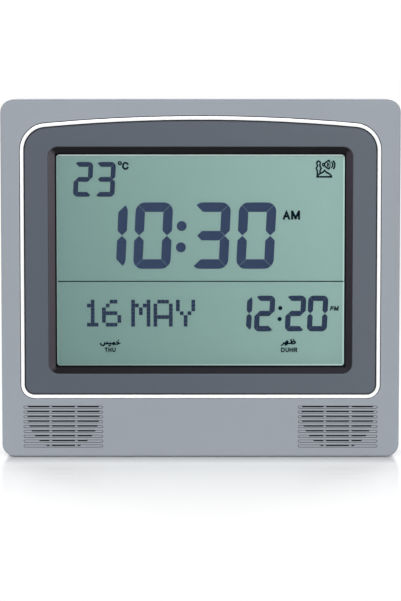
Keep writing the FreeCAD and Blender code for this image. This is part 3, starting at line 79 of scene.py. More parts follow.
def shade(red, green, blue):
    """A linear colour from the usual 0 to 255 numbers."""
    parts = []
    for level in (red, green, blue):
        level = level / 255
        parts.append(level / 12.92 if level <= 0.04045 else ((level + 0.055) / 1.055) ** 2.4)
    return (*parts, 1.0)


def tinted(colour, factor):
    """A lighter or darker version of a colour."""
    return (*(min(1.0, level * factor) for level in colour[:3]), 1.0)


# ---------------------------------------------------------------- finishes


class Finish:
    """A material: one main shader, and patterns that read the piece's own coordinates."""

    def __init__(self, name):
        self.material = bpy.data.materials.new(name)
        self.material.use_nodes = True
        self.tree = self.material.node_tree
        self.tree.nodes.clear()
        self.output = self.node("ShaderNodeOutputMaterial")
        self.shader = self.node("ShaderNodeBsdfPrincipled")
        self.join(self.shader.outputs["BSDF"], self.output.inputs["Surface"])
        self.place = self.node("ShaderNodeTexCoord").outputs["Object"]

    def node(self, kind, **settings):
        made = self.tree.nodes.new(kind)
        for name, setting in settings.items():
            setattr(made, name, setting)
        return made

    def join(self, source, target):
        self.tree.links.new(source, target)

    def set(self, **values):
        """Constants on the shader's own sockets; an underscore stands for a space."""
        for name, number in values.items():
            self.shader.inputs[name.replace("_", " ")].default_value = number
        return self

    def axes(self):
        """The piece's own X, Y and Z, each as a number."""
        split = self.node("ShaderNodeSeparateXYZ")
        self.join(self.place, split.inputs["Vector"])
        return split.outputs["X"], split.outputs["Y"], split.outputs["Z"]

    def mapped(self, **changes):
        """The piece's coordinates, turned or stretched."""
        mapping = self.node("ShaderNodeMapping")
        self.join(self.place, mapping.inputs["Vector"])
        for name, numbers in changes.items():
            mapping.inputs[name].default_value = numbers
        return mapping.outputs["Vector"]

    def noise(self, scale, detail=2.0, vector=None):
        texture = self.node("ShaderNodeTexNoise")
        self.join(vector or self.place, texture.inputs["Vector"])
        texture.inputs["Scale"].default_value = scale
        texture.inputs["Detail"].default_value = detail
        return texture.outputs["Fac"]

    def ranged(self, source, low, high, to_low=0.0, to_high=1.0):
        """A number carried from one range to another."""
        mapping = self.node("ShaderNodeMapRange")
        self.join(source, mapping.inputs["Value"])
        limits = {"From Min": low, "From Max": high, "To Min": to_low, "To Max": to_high}
        for name, number in limits.items():
            mapping.inputs[name].default_value = number
        return mapping.outputs["Result"]

    def levels(self, noise, low=0.0, high=1.0):
        """Noise carried to a range; nearly all of it lies between 0.3 and 0.7."""
        return self.ranged(noise, 0.3, 0.7, low, high)

    def between(self, place, low, high, to_low=0.0, to_high=1.0):
        """A number that runs from one value to another between two places in millimetres."""
        return self.ranged(place, low * MM, high * MM, to_low, to_high)

    def behind(self, y, depths):
        """Nothing in front of the first of two depths, and all of it behind the second."""
        first, second = depths
        return self.between(y, first - HALF_DEPTH, second - HALF_DEPTH)

    def arithmetic(self, kind, first, second=0.0):
        """Arithmetic on two numbers, either of them a socket."""
        made = self.node("ShaderNodeMath", operation=kind)
        for socket, number in zip(made.inputs, (first, second)):
            if isinstance(number, (int, float)):
                socket.default_value = number
            else:
                self.join(number, socket)
        return made.outputs[0]

    def plus(self, first, second):
        return self.arithmetic("ADD", first, second)

    def less(self, first, second):
        return self.arithmetic("SUBTRACT", first, second)

    def times(self, first, second):
        return self.arithmetic("MULTIPLY", first, second)

    def larger(self, first, second):
        return self.arithmetic("MAXIMUM", first, second)

    def outside(self, place, centre, reach):
        """How far a place lies beyond a reach on either side of a centre, along one axis."""
        distance = self.arithmetic("ABSOLUTE", self.less(place, centre * MM))
        return self.less(distance, reach * MM)

    def blend(self, share, first, second):
        """A colour between two others, each given as numbers or as a socket."""
        made = self.node("ShaderNodeMix", data_type="RGBA")
        self.join(share, made.inputs[0])
        for socket, colour in zip(made.inputs[6:8], (first, second)):
            if isinstance(colour, tuple):
                socket.default_value = colour
            else:
                self.join(colour, socket)
        return made.outputs[2]

    def layer(self, share, first, second):
        """A shader between two others."""
        made = self.node("ShaderNodeMixShader")
        self.join(share, made.inputs[0])
        self.join(first, made.inputs[1])
        self.join(second, made.inputs[2])
        return made.outputs[0]

    def colour(self, source):
        self.join(source, self.shader.inputs["Base Color"])
        return self

    def painted(self):
        """The colour that the shader has so far."""
        return self.shader.inputs["Base Color"].links[0].from_socket

    def roughness(self, source, low, high):
        self.join(self.levels(source, low, high), self.shader.inputs["Roughness"])
        return self

    def bump(self, height, distance, strength=1.0):
        """Fine relief, distance in millimetres."""
        made = self.node("ShaderNodeBump")
        made.inputs["Distance"].default_value = distance * MM
        made.inputs["Strength"].default_value = strength
        self.join(height, made.inputs["Height"])
        self.join(made.outputs["Normal"], self.shader.inputs["Normal"])
        return self


def moulded(name, colour, spread=0.04, grain=2600.0, depth=0.012, rough=(0.46, 0.56), specular=0.35):
    """Spark-eroded moulded plastic: fine even grain, faint flow marks in colour and gloss."""
    finish = Finish(name)
    flow = finish.levels(finish.noise(22.0, detail=3.0), high=0.6)
    speckle = finish.levels(finish.noise(grain / 2), high=0.4)
    dark = tinted(colour, 1 - spread)
    light = tinted(colour, 1 + spread)
    finish.colour(finish.blend(finish.plus(flow, speckle), dark, light))
    finish.roughness(finish.noise(90.0, detail=3.0), *rough)
    finish.bump(finish.noise(grain, detail=1.0), depth)
    return finish.set(Specular_IOR_Level=specular)


def metal(name, colour, rough):
    """Bare or plated metal, finely marked."""
    finish = Finish(name)
    marks = finish.noise(900.0, detail=4.0)
    finish.colour(finish.blend(finish.levels(marks), tinted(colour, 0.8), colour))
    finish.roughness(marks, *rough)
    finish.bump(marks, 0.004)
    return finish.set(Metallic=1.0)


def case_plastic(name):
    """Silver-grey satin lacquer over the moulded case."""
    return moulded(name, shade(155, 161, 169), spread=0.015, grain=1900.0, depth=0.006,
                   rough=(0.42, 0.5), specular=0.12)


def front_plastic():
    """The case's lacquer on the front plate, with painted shade that darkens its slots and channels behind a
    depth.
    """
    finish = case_plastic("front_lacquer")
    x, y, z = finish.axes()
    across = finish.between(finish.outside(x, 0, PLATE_HALF), PLATE_EDGE, 0)
    upward = finish.times(finish.between(z, PLATE_LOW - PLATE_EDGE, PLATE_LOW),
                          finish.between(z, PLATE_HIGH + PLATE_EDGE, PLATE_HIGH))
    # painted shade: the slots and channels go dark behind these depths
    dark = finish.times(finish.behind(y, SLOT_SHADE_DEPTHS), finish.times(across, upward))
    return finish.colour(finish.blend(dark, finish.painted(), shade(17, 18, 20)))


def bezel_plastic():
    """Slate lacquer on its face, with painted light that makes it paler to the right; painted shade turns
    the joint behind the face black.
    """
    finish = moulded("bezel_plastic", shade(80, 87, 97), spread=0.02, grain=2200.0, depth=0.008,
                     rough=(0.4, 0.5), specular=0.3)
    x, y, _ = finish.axes()
    # painted light: the slate face paler towards the right
    lacquer = finish.blend(finish.between(x, -80, 90), finish.painted(), shade(88, 95, 104))
    # painted shade: black in the joint behind the face
    return finish.colour(finish.blend(finish.behind(y, JOINT_SHADE_DEPTHS), lacquer, shade(14, 14, 16)))


def beyond_display(finish, x, z):
    """How far a point lies outside the edge of the display, across and upward."""
    across = finish.outside(x, 0, DISPLAY_HALF)
    upward = finish.outside(z, (DISPLAY_LOW + DISPLAY_HIGH) / 2, (DISPLAY_HIGH - DISPLAY_LOW) / 2)
    return across, upward


def mask_plastic():
    """Black mask, matt above and below the display; painted light lifts its sides and its lower part, and
    painted shade darkens the lip round the display.
    """
    finish = moulded("mask_plastic", shade(34, 32, 35), spread=0.1, grain=1500.0, depth=0.01,
                     rough=(0.55, 0.7), specular=0.05)
    x, _, z = finish.axes()
    across, upward = beyond_display(finish, x, z)
    # painted light on the mask's sides: the left lighter than the right, both darker downward
    downward_shade_share = finish.between(z, 170, 60)
    left_painted_light = finish.blend(downward_shade_share, shade(93, 88, 94), shade(83, 77, 83))
    right_painted_light = finish.blend(downward_shade_share, shade(67, 60, 68), shade(48, 44, 50))
    painted_side_light = finish.blend(finish.between(x, -10, 10), left_painted_light, right_painted_light)
    # painted light: a lighter band on the mask below the display
    painted_light_beneath = finish.times(finish.between(x, -DISPLAY_HALF, DISPLAY_HALF), finish.between(z, 90, 60))
    matt = finish.blend(painted_light_beneath, finish.painted(), shade(50, 49, 55))
    beside = finish.between(finish.less(across, upward), -1.4, 1.4)
    # painted shade: a near-black band at the lip round the display
    painted_lip_shade = finish.between(finish.larger(across, upward), *LIP_SHADE_FADE)
    return finish.colour(finish.blend(painted_lip_shade, finish.blend(beside, matt, painted_side_light), shade(8, 8, 10)))


def ring_finish():
    """Bright plated ring, polished."""
    finish = Finish("bright_ring")
    marks = finish.levels(finish.noise(500.0))
    finish.colour(finish.blend(marks, shade(250, 251, 252), shade(255, 255, 255)))
    finish.roughness(finish.noise(160.0), 0.08, 0.16)
    return finish.set(Metallic=0.35, Specular_IOR_Level=0.8)


def display_face():
    """The cell at rest: grey-green, with painted light that makes it paler at the upper right, a painted
    highlight and glow on its rim, and a black seal round it.
    """
    finish = Finish("display_cell")
    x, _, z = finish.axes()
    # painted light: the cell paler towards the upper right
    share = finish.plus(finish.between(x, -DISPLAY_HALF, DISPLAY_HALF, to_high=0.83),
                        finish.between(z, DISPLAY_LOW, DISPLAY_HIGH, to_high=0.24))
    green = finish.blend(share, shade(121, 157, 151), shade(162, 201, 192))
    pearl = finish.levels(finish.noise(5200.0, detail=1.0), high=0.05)
    green = finish.blend(pearl, green, shade(205, 225, 220))
    # painted highlight along the rim, brightest to the right and white along the top
    along_top = finish.between(z, DISPLAY_HIGH - 1.7, DISPLAY_HIGH - 1.2)
    painted_rim_highlight = finish.blend(finish.between(x, -70, 70), shade(140, 172, 166), shade(196, 226, 220))
    painted_rim_highlight = finish.blend(along_top, painted_rim_highlight, shade(250, 255, 252))
    edge = finish.larger(*beyond_display(finish, x, z))
    rim = finish.between(edge, *RIM_HIGHLIGHT_FADE, to_high=0.9)
    seal = finish.between(edge, *SEAL_FADE)
    finish.colour(finish.blend(seal, finish.blend(rim, green, painted_rim_highlight), shade(14, 16, 18)))
    # painted glow: the rim emits light, most at the right and along the top, though nothing lights the cell
    bright = finish.larger(finish.between(x, -70, 80), along_top)
    glow = finish.times(finish.times(rim, finish.ranged(bright, 0, 1, 0.05, 0.25)), finish.less(1.0, seal))
    finish.join(glow, finish.shader.inputs["Emission Strength"])
    finish.set(Emission_Color=shade(205, 250, 240))
    return finish.set(Roughness=0.35, Specular_IOR_Level=0.3)


def window_acrylic():
    """Clear hard-coated acrylic: a faint smoke, a thin gloss, the display plain behind it."""
    finish = Finish("window_acrylic")
    smear = finish.noise(35.0, detail=3.0)
    finish.colour(finish.blend(smear, shade(10, 12, 13), shade(30, 33, 35)))
    finish.roughness(smear, 0.03, 0.06)
    return finish.set(Alpha=0.07, Specular_IOR_Level=0.35)


def milky(name, colour, rough=0.3):
    """Translucent moulding such as a light guide."""
    finish = Finish(name)
    cloud = finish.noise(120.0, detail=3.0)
    finish.colour(finish.blend(finish.levels(cloud), colour, tinted(colour, 1.08)))
    finish.roughness(cloud, rough, rough + 0.1)
    return finish.set(Subsurface_Weight=0.2, Subsurface_Radius=(0.002, 0.002, 0.002))


def ink(name, colour, rough=(0.45, 0.55), specular=0.2):
    """Printed or switched figures, almost even in colour."""
    finish = Finish(name)
    mottle = finish.levels(finish.noise(1500.0))
    finish.colour(finish.blend(mottle, colour, tinted(colour, 1.25)))
    finish.roughness(finish.noise(300.0), *rough)
    return finish.set(Specular_IOR_Level=specular)


def woven(name, colour, pitch=0.45):
    """Plain weave cloth."""
    finish = Finish(name)
    bands = []
    for axis in ("X", "Z"):
        wave = finish.node("ShaderNodeTexWave", bands_direction=axis)
        finish.join(finish.place, wave.inputs["Vector"])
        wave.inputs["Scale"].default_value = 1 / (math.pi * pitch * MM)
        bands.append(wave.outputs["Fac"])
    weave = finish.times(*bands)
    finish.colour(finish.blend(weave, colour, tinted(colour, 2.2)))
    finish.bump(weave, 0.1)
    return finish.set(Roughness=0.9, Sheen_Weight=0.3, Sheen_Roughness=0.5)


def circuit_board():
    """Green solder mask over copper tracks, with a film of dust."""
    finish = Finish("circuit_board")
    tracks = finish.node("ShaderNodeTexBrick", offset=0.37, squash=1.6)
    finish.join(finish.mapped(Rotation=(math.radians(90), 0.0, 0.0)), tracks.inputs["Vector"])
    settings = {
        "Scale": 130.0, "Mortar Size": 0.06, "Mortar Smooth": 0.05, "Brick Width": 1.1, "Row Height": 0.28,
        "Color1": shade(22, 84, 52), "Color2": shade(26, 92, 57), "Mortar": shade(38, 118, 74),
    }
    for name, setting in settings.items():
        tracks.inputs[name].default_value = setting
    dust = finish.ranged(finish.noise(60.0, detail=4.0), 0.4, 0.8, to_high=0.25)
    finish.colour(finish.blend(dust, tracks.outputs["Color"], shade(60, 110, 82)))
    finish.roughness(finish.noise(700.0), 0.25, 0.4)
    finish.bump(tracks.outputs["Fac"], 0.03, 0.6)
    return finish.set(Specular_IOR_Level=0.5)


def battery_jacket(name, dark_end, bright_end):
    """Foil sleeve: a dark body and a bright band at the button's end, which meet between two places on X."""
    finish = Finish(name)
    band = finish.between(finish.axes()[0], dark_end, bright_end)
    colour = finish.blend(band, shade(38, 52, 78), shade(196, 160, 84))
    marks = finish.noise(700.0, detail=3.0, vector=finish.mapped(Scale=(0.15, 1.0, 1.0)))
    worn = finish.ranged(marks, 0.4, 0.9, to_high=0.3)
    finish.colour(finish.blend(worn, colour, shade(150, 150, 150)))
    finish.roughness(marks, 0.25, 0.36)
    return finish.set(Metallic=0.7)


def rubber(name, colour):
    """Soft matt rubber or pressed paper."""
    finish = Finish(name)
    skin = finish.noise(1400.0, detail=4.0)
    finish.colour(finish.blend(finish.ranged(skin, 0.3, 0.8), colour, tinted(colour, 1.6)))
    finish.roughness(finish.noise(200.0), 0.7, 0.85)
    finish.bump(skin, 0.02)
    return finish.set(Specular_IOR_Level=0.25)


CASE = case_plastic("case_lacquer")
BUTTON = moulded("control_plastic", shade(66, 71, 78), spread=0.05, grain=1800.0, depth=0.012,
                 rough=(0.4, 0.52), specular=0.4)
CHIP = moulded("chip_epoxy", shade(30, 30, 33), spread=0.15, grain=3000.0, depth=0.02,
               rough=(0.5, 0.65), specular=0.4)
LEAD = moulded("lead_vinyl", shade(150, 34, 32), spread=0.06, grain=900.0, depth=0.005,
               rough=(0.3, 0.42), specular=0.5)
FERRITE = moulded("ferrite", shade(44, 44, 47), spread=0.12, grain=900.0, depth=0.03,
                  rough=(0.6, 0.75), specular=0.4)

FINISHES = (
    (front_plastic(), ("front_shell",)),
    (CASE, ("rear_cover", "battery_door", "stand_leg")),
    (ring_finish(), ("trim_ring",)),
    (bezel_plastic(), ("inner_bezel",)),
    (mask_plastic(), ("display_mask",)),
    (window_acrylic(), ("display_window",)),
    (display_face(), ("lcd_front_glass", "lcd_rear_glass")),
    (milky("reflector_film", shade(178, 196, 190)), ("lcd_diffuser",)),
    (milky("light_guide", shade(226, 236, 240), rough=0.12), ("light_guide",)),
    (milky("lamp_epoxy", shade(240, 232, 190), rough=0.15), ("backlight_leds",)),
    (circuit_board(), ("main_board", "button_board", "backlight_board")),
    (CHIP, ("processor_chip", "memory_chip", "amplifier_chip", "tact_switches", "temperature_sensor")),
    (moulded("frame_plastic", shade(224, 224, 218), spread=0.02), ("display_frame", "wire_headers")),
    (rubber("striped_elastomer", shade(190, 140, 150)), ("connector_strip",)),
    (metal("zinc_steel", shade(196, 198, 202), rough=(0.25, 0.4)),
     ("board_screws", "speaker_screws", "case_screws", "button_screws", "stand_pin")),
    (metal("bright_plate", shade(214, 216, 219), rough=(0.15, 0.3)),
     ("clock_crystal", "switch_housings", "battery_springs", "battery_plates", "capacitors")),
    (metal("basket_steel", shade(170, 172, 176), rough=(0.3, 0.45)),
     ("speaker_frame_left", "speaker_frame_right")),
    (FERRITE, ("speaker_magnet_left", "speaker_magnet_right")),
    (rubber("cone_paper", shade(34, 34, 36)), ("speaker_cone_left", "speaker_cone_right")),
    (woven("dust_cloth", shade(16, 17, 19)), ("speaker_cloth_left", "speaker_cloth_right")),
    (rubber("foot_rubber", shade(34, 34, 36)), ("feet",)),
    (BUTTON, ("mode_button", "hour_button", "minute_button", "date_button", "city_button", "azan_button",
              "azan_switch_knob", "volume_switch_knob")),
    (battery_jacket("battery_jacket", dark_end=79.5, bright_end=79.7), ("battery_1", "battery_3")),
    (battery_jacket("battery_jacket_turned", dark_end=52.0, bright_end=51.8), ("battery_2",)),
    (LEAD, ("speaker_leads", "battery_leads", "board_ribbon")),
)
for finish, nodes in FINISHES:
    for node in nodes:
        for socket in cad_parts[node].material_slots:
            socket.material = finish.material

# ---------------------------------------------------------------- pieces in mesh code


class Shape:
    """A mesh in the making, in millimetres: X, depth and Z."""

    def __init__(self):
        self.mesh = bmesh.new()

    def prism(self, outline, front, rear):
        """A flat-faced block between two depths; the outline is pairs of X and Z."""
        near = [self.mesh.verts.new(at(x, front, z)) for x, z in outline]
        far = [self.mesh.verts.new(at(x, rear, z)) for x, z in outline]
        self.mesh.faces.new(near)
        self.mesh.faces.new(far[::-1])
        for index in range(len(outline)):
            other = (index + 1) % len(outline)
            self.mesh.faces.new((near[other], near[index], far[index], far[other]))

    def disc(self, x, z, radius, front, rear, sides=28):
        turns = [math.tau * step / sides for step in range(sides)]
        self.prism([(x + radius * math.cos(turn), z + radius * math.sin(turn)) for turn in turns],
                   front, rear)

    def line(self, points, width, front, rear, square=False):
        """A ribbon of even width along a path of X and Z; square ends reach half a width further."""
        half = width / 2
        path = [Vector(point) for point in points]
        if square:
            path[0], path[-1] = (path[0] - (path[1] - path[0]).normalized() * half,
                                 path[-1] + (path[-1] - path[-2]).normalized() * half)
        closed = path[0] == path[-1]
        runs = [(end - start).normalized() for start, end in zip(path, path[1:])]
        arriving = [runs[-1] if closed else runs[0]] + runs
        leaving = runs + [runs[-1]]
        turns = list(zip(path, arriving, leaving))
        if closed:
            turns.pop()
        rows = []
        for point, before, after in turns:
            run = (before + after).normalized()
            side = Vector((-run.y, run.x)) * half / max(0.5, run.dot(after))
            left, right = point + side, point - side
            corners = ((left, front), (right, front), (right, rear), (left, rear))
            rows.append([self.mesh.verts.new(at(spot.x, depth, spot.y)) for spot, depth in corners])
        following = rows[1:] + rows[:1] if closed else rows[1:]
        for near, far in zip(rows, following):
            for first, second in ((0, 1), (1, 2), (2, 3), (3, 0)):
                self.mesh.faces.new((near[first], near[second], far[second], far[first]))
        if not closed:
            self.mesh.faces.new(rows[0])
            self.mesh.faces.new(rows[-1][::-1])

    def rear_letters(self, words, x, z, height, front, rear):
        """Lettering read from behind, its capitals of the given height, standing on z and centred on x."""
        curve = bpy.data.curves.new("letters", "FONT")
        curve.body = words
        curve.size = 1.0
        curve.fill_mode = "BOTH"
        curve.extrude = 0.5
        holder = bpy.data.objects.new("letters", curve)
        bpy.context.scene.collection.objects.link(holder)
        bpy.context.view_layer.update()
        flat = bpy.data.meshes.new_from_object(holder.evaluated_get(bpy.context.evaluated_depsgraph_get()))
        low = [min(vertex.co[axis] for vertex in flat.vertices) for axis in (0, 1)]
        high = [max(vertex.co[axis] for vertex in flat.vertices) for axis in (0, 1)]
        scale = height / (high[1] - low[1])
        centre = (low[0] + high[0]) / 2
        for vertex in flat.vertices:
            across, up, out = vertex.co
            depth = (front + rear) / 2 + out * (rear - front)
            vertex.co = at(x - (across - centre) * scale, depth, z + (up - low[1]) * scale)
        self.mesh.from_mesh(flat)
        bpy.data.objects.remove(holder)
        bpy.data.curves.remove(curve)
        bpy.data.meshes.remove(flat)

    def piece(self, name, body, finish):
        """The finished object, riding on a body."""
        bmesh.ops.remove_doubles(self.mesh, verts=self.mesh.verts, dist=0.0001 * MM)
        bmesh.ops.recalc_face_normals(self.mesh, faces=self.mesh.faces)
        data = bpy.data.meshes.new(name)
        self.mesh.to_mesh(data)
        self.mesh.free()
        data.materials.append(finish.material)
        return placed(name, data, body)


def placed(name, data, body):
    """An object for a mesh, riding on a body."""
    made = bpy.data.objects.new(name, data)
    bpy.context.scene.collection.objects.link(made)
    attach(made, body)
    return made


# ---------------------------------------------------------------- seven-bar figures

FIGURE = ink("display_figures", shade(45, 62, 93))
SMALL_FIGURE = ink("display_small_figures", shade(33, 50, 77))
LIT = {"0": "abcdef", "1": "bc", "2": "abged", "3": "abgcd"}


def bar_outline(name, width, height, stroke, gap):
    """Outline of one bar of a seven-bar digit whose corners are round outside and sharp inside."""
    waist = height / 2
    cut = math.asin(gap / (stroke * math.sqrt(2)))
    if name == "g":
        tip, shoulder, half = stroke / 2 + gap, stroke + gap, stroke / 2
        return [(tip, waist), (shoulder, waist - half), (width - shoulder, waist - half),
                (width - tip, waist), (width - shoulder, waist + half), (shoulder, waist + half)]

    def corner(first, last, steps=5):
        for step in range(steps + 1):
            turn = first + (last - first) * step / steps
            yield stroke + stroke * math.cos(turn), height - stroke + stroke * math.sin(turn)

    if name in "ad":
        left = list(corner(math.radians(135) - cut, math.radians(90)))
        right = [(width - x, z) for x, z in reversed(left)]
        outline = [(stroke + gap, height - stroke), *left, *right, (width - stroke - gap, height - stroke)]
    else:
        foot = waist + gap
        outline = [(stroke, height - stroke - gap), (stroke, foot + stroke / 2), (stroke / 2, foot),
                   (0, foot + stroke / 2), *corner(math.radians(180), math.radians(135) + cut)]
    if name in "bc":
        outline = [(width - x, z) for x, z in outline]
    if name in "cde":
        outline = [(x, height - z) for x, z in outline]
    return outline


def digits(shape, places, low, height, stroke, gap, lean):
    """Leaning digits on one line, each with the place of its left edge at half height and its width."""
    for figure, left, width in places:
        for name in LIT[figure]:
            outline = [(left + x + lean * (z - height / 2), low + z)
                       for x, z in bar_outline(name, width, height, stroke, gap)]
            shape.prism(outline, *FIGURE_DEPTHS)


TIME = (("1", -61.62, 20.7), ("0", -36.65, 20.7), ("3", -4.6, 20.7), ("0", 20.62, 20.7))
TIME_COLON = ((-10.43, 128.4), (-10.86, 116.56))
TIME_DOT = 2.75
TEMPERATURE = (("2", -70.2, 10.48), ("3", -58.2, 10.98))
PRAYER_TIME = (("1", 17.45, 11.15), ("2", 30.05, 11.15), ("2", 47.3, 11.15), ("0", 59.55, 11.15))
PRAYER_COLON = ((44.37, 82.68), (44.04, 76.55))
PRAYER_DOT = 1.17

time_figures = Shape()
digits(time_figures, TIME, low=104.63, height=36.87, stroke=5.25, gap=0.12, lean=0.0487)
for x, z in TIME_COLON:
    time_figures.disc(x, z, TIME_DOT, *FIGURE_DEPTHS)
time_figures.piece("time_figures", "case", FIGURE)

small_figures = Shape()
digits(small_figures, TEMPERATURE, low=144.68, height=19.21, stroke=2.64, gap=0.07, lean=0.0487)
digits(small_figures, PRAYER_TIME, low=69.67, height=19.96, stroke=2.95, gap=0.07, lean=0.045)
small_figures.piece("small_figures", "case", SMALL_FIGURE)

# ---------------------------------------------------------------- repeated blocks: date, grip ribs


def block_tree():
    """Equal blocks set on points, with their size as inputs."""
    tree = bpy.data.node_groups.new("repeated_blocks", "GeometryNodeTree")
    tree.interface.new_socket("Geometry", in_out="INPUT", socket_type="NodeSocketGeometry")
    for name in ("Width", "Thickness", "Height"):
        tree.interface.new_socket(name, in_out="INPUT", socket_type="NodeSocketFloat")
    tree.interface.new_socket("Finish", in_out="INPUT", socket_type="NodeSocketMaterial")
    tree.interface.new_socket("Geometry", in_out="OUTPUT", socket_type="NodeSocketGeometry")
    make = tree.nodes.new
    inputs, outputs = make("NodeGroupInput"), make("NodeGroupOutput")
    size = make("ShaderNodeCombineXYZ")
    block = make("GeometryNodeMeshCube")
    spread = make("GeometryNodeInstanceOnPoints")
    real = make("GeometryNodeRealizeInstances")
    paint = make("GeometryNodeSetMaterial")
    join = tree.links.new
    for name, axis in (("Width", "X"), ("Thickness", "Y"), ("Height", "Z")):
        join(inputs.outputs[name], size.inputs[axis])
    join(size.outputs["Vector"], block.inputs["Size"])
    join(inputs.outputs["Geometry"], spread.inputs["Points"])
    join(block.outputs["Mesh"], spread.inputs["Instance"])
    join(spread.outputs["Instances"], real.inputs["Geometry"])
    join(real.outputs["Geometry"], paint.inputs["Geometry"])
    join(inputs.outputs["Finish"], paint.inputs["Material"])
    join(paint.outputs["Geometry"], outputs.inputs["Geometry"])
    return tree


BLOCKS = block_tree()


def blocks(name, points, size, body, finish):
    """A plain mesh of equal blocks on points, its size given as width, thickness and height."""
    seeds = bpy.data.meshes.new(f"{name}_points")
    seeds.from_pydata(points, [], [])
    holder = bpy.data.objects.new(f"{name}_points", seeds)
    bpy.context.scene.collection.objects.link(holder)
    modifier = holder.modifiers.new("grow", "NODES")
    modifier.node_group = BLOCKS
    named = {item.name: item.identifier for item in BLOCKS.interface.items_tree if item.in_out == "INPUT"}
    for key, number in zip(("Width", "Thickness", "Height"), size):
        modifier[named[key]] = number * MM
    modifier[named["Finish"]] = finish.material
    bpy.context.view_layer.update()
    data = bpy.data.meshes.new_from_object(holder.evaluated_get(bpy.context.evaluated_depsgraph_get()))
    data.name = name
    bpy.data.objects.remove(holder)
    bpy.data.meshes.remove(seeds)
    return placed(name, data, body)


GLYPHS = {
    "1": "010 110 010 010 010 010 111",
    "6": "00110 01000 10000 11110 10001 10001 01110",
    "M": "10001 11011 10101 10101 10001 10001 10001",
    "A": "01110 10001 10001 10001 11111 10001 10001",
    "Y": "10001 10001 10001 01010 00100 00100 00100",
}
DATE = (("1", -63.15), ("6", -54.76), ("M", -38.52), ("A", -26.12), ("Y", -13.61))
DATE_TOP = 87.3
DOT_PITCH = 2.145
DOT_SIZE = 2.06

dots = []
for glyph, left in DATE:
    for row, pattern in enumerate(GLYPHS[glyph].split()):
        for column, lit in enumerate(pattern):
            if lit == "1":
                x = left + DOT_SIZE / 2 + column * DOT_PITCH
                z = DATE_TOP - DOT_SIZE / 2 - row * DOT_PITCH
                dots.append(at(x, sum(FIGURE_DEPTHS) / 2, z))
dot_thickness = FIGURE_DEPTHS[1] - FIGURE_DEPTHS[0]
blocks("date_figures", dots, (DOT_SIZE, dot_thickness, DOT_SIZE), "case", SMALL_FIGURE)

RIB_COUNT = 4
RIB_PITCH = 0.9
RIB_SIZE = (0.4, 0.36, 3.2)
RIB_SINK = 0.06

for knob in ("azan_switch_knob", "volume_switch_knob"):
    across, height = middle(knob)
    crown = round(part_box(knob)[1].y / MM, 3) + HALF_DEPTH
    rib_depth = crown - RIB_SINK + RIB_SIZE[1] / 2
    steps = [number - (RIB_COUNT - 1) / 2 for number in range(RIB_COUNT)]
    ribs = [at(across + step * RIB_PITCH, rib_depth, height) for step in steps]
    blocks(f"{knob}_ribs", ribs, RIB_SIZE, knob, BUTTON)

# ---------------------------------------------------------------- words and icon on the display

PRINT = ink("display_print", shade(3, 28, 42), specular=0.02)

# Each letter's strokes in a unit square, as across and up.
STROKES = {
    "A": [[(0, 0), (0.5, 1), (1, 0)], [(0.18, 0.34), (0.82, 0.34)]],
    "C": [[(1, 0.8), (0.75, 1), (0.3, 1), (0, 0.72), (0, 0.28), (0.3, 0), (0.75, 0), (1, 0.2)]],
    "D": [[(0, 0.5), (0, 1), (0.6, 1), (1, 0.7), (1, 0.3), (0.6, 0), (0, 0), (0, 0.5)]],
    "H": [[(0, 0), (0, 1)], [(1, 0), (1, 1)], [(0, 0.5), (1, 0.5)]],
    "M": [[(0, 0), (0, 1)], [(0.04, 1), (0.5, 0.06)], [(0.5, 0.06), (0.96, 1)], [(1, 1), (1, 0)]],
    "P": [[(0, 0), (0, 1), (0.7, 1), (1, 0.85), (1, 0.62), (0.7, 0.47), (0, 0.47)]],
    "R": [[(0, 0), (0, 1), (0.7, 1), (1, 0.85), (1, 0.62), (0.7, 0.47), (0, 0.47)], [(0.55, 0.47), (1, 0)]],
    "T": [[(0, 1), (1, 1)], [(0.5, 1), (0.5, 0)]],
    "U": [[(0, 1), (0, 0.28), (0.28, 0), (0.72, 0), (1, 0.28), (1, 1)]],
}
MORNING = (("A", 45.6, 49.7), ("M", 50.2, 55.2))
AFTERNOON = (("P", 71.95, 73.7), ("M", 74.0, 76.5))
CELSIUS = (("C", -43.4, -39.8),)
THURSDAY = (("T", -53.4, -51.6), ("H", -51.35, -49.55), ("U", -49.15, -47.25))
NOON_PRAYER = (("D", 44.8, 46.95), ("U", 47.3, 49.2), ("H", 49.55, 51.45), ("R", 51.85, 53.9))



def stroked(shape, places, low, height, stroke, lean=0.0):
    """Letters drawn in even strokes, each between its own left and right edges."""
    for letter, left, right in places:
        for path in STROKES[letter]:
            points = []
            for across, up in path:
                rise = stroke / 2 + up * (height - stroke)
                reach = stroke / 2 + across * (right - left - stroke)
                points.append((left + reach + lean * rise, low + rise))
            shape.line(points, stroke, *FIGURE_DEPTHS, square=path[0] != path[-1])


prints = Shape()
stroked(prints, MORNING, low=131.95, height=4.95, stroke=1.2)
stroked(prints, AFTERNOON, low=81.2, height=2.6, stroke=0.6, lean=0.2)
stroked(prints, CELSIUS, low=159.6, height=4.3, stroke=1.0)
stroked(prints, THURSDAY, low=58.1, height=2.5, stroke=0.56)
stroked(prints, NOON_PRAYER, low=58.0, height=2.55, stroke=0.55)

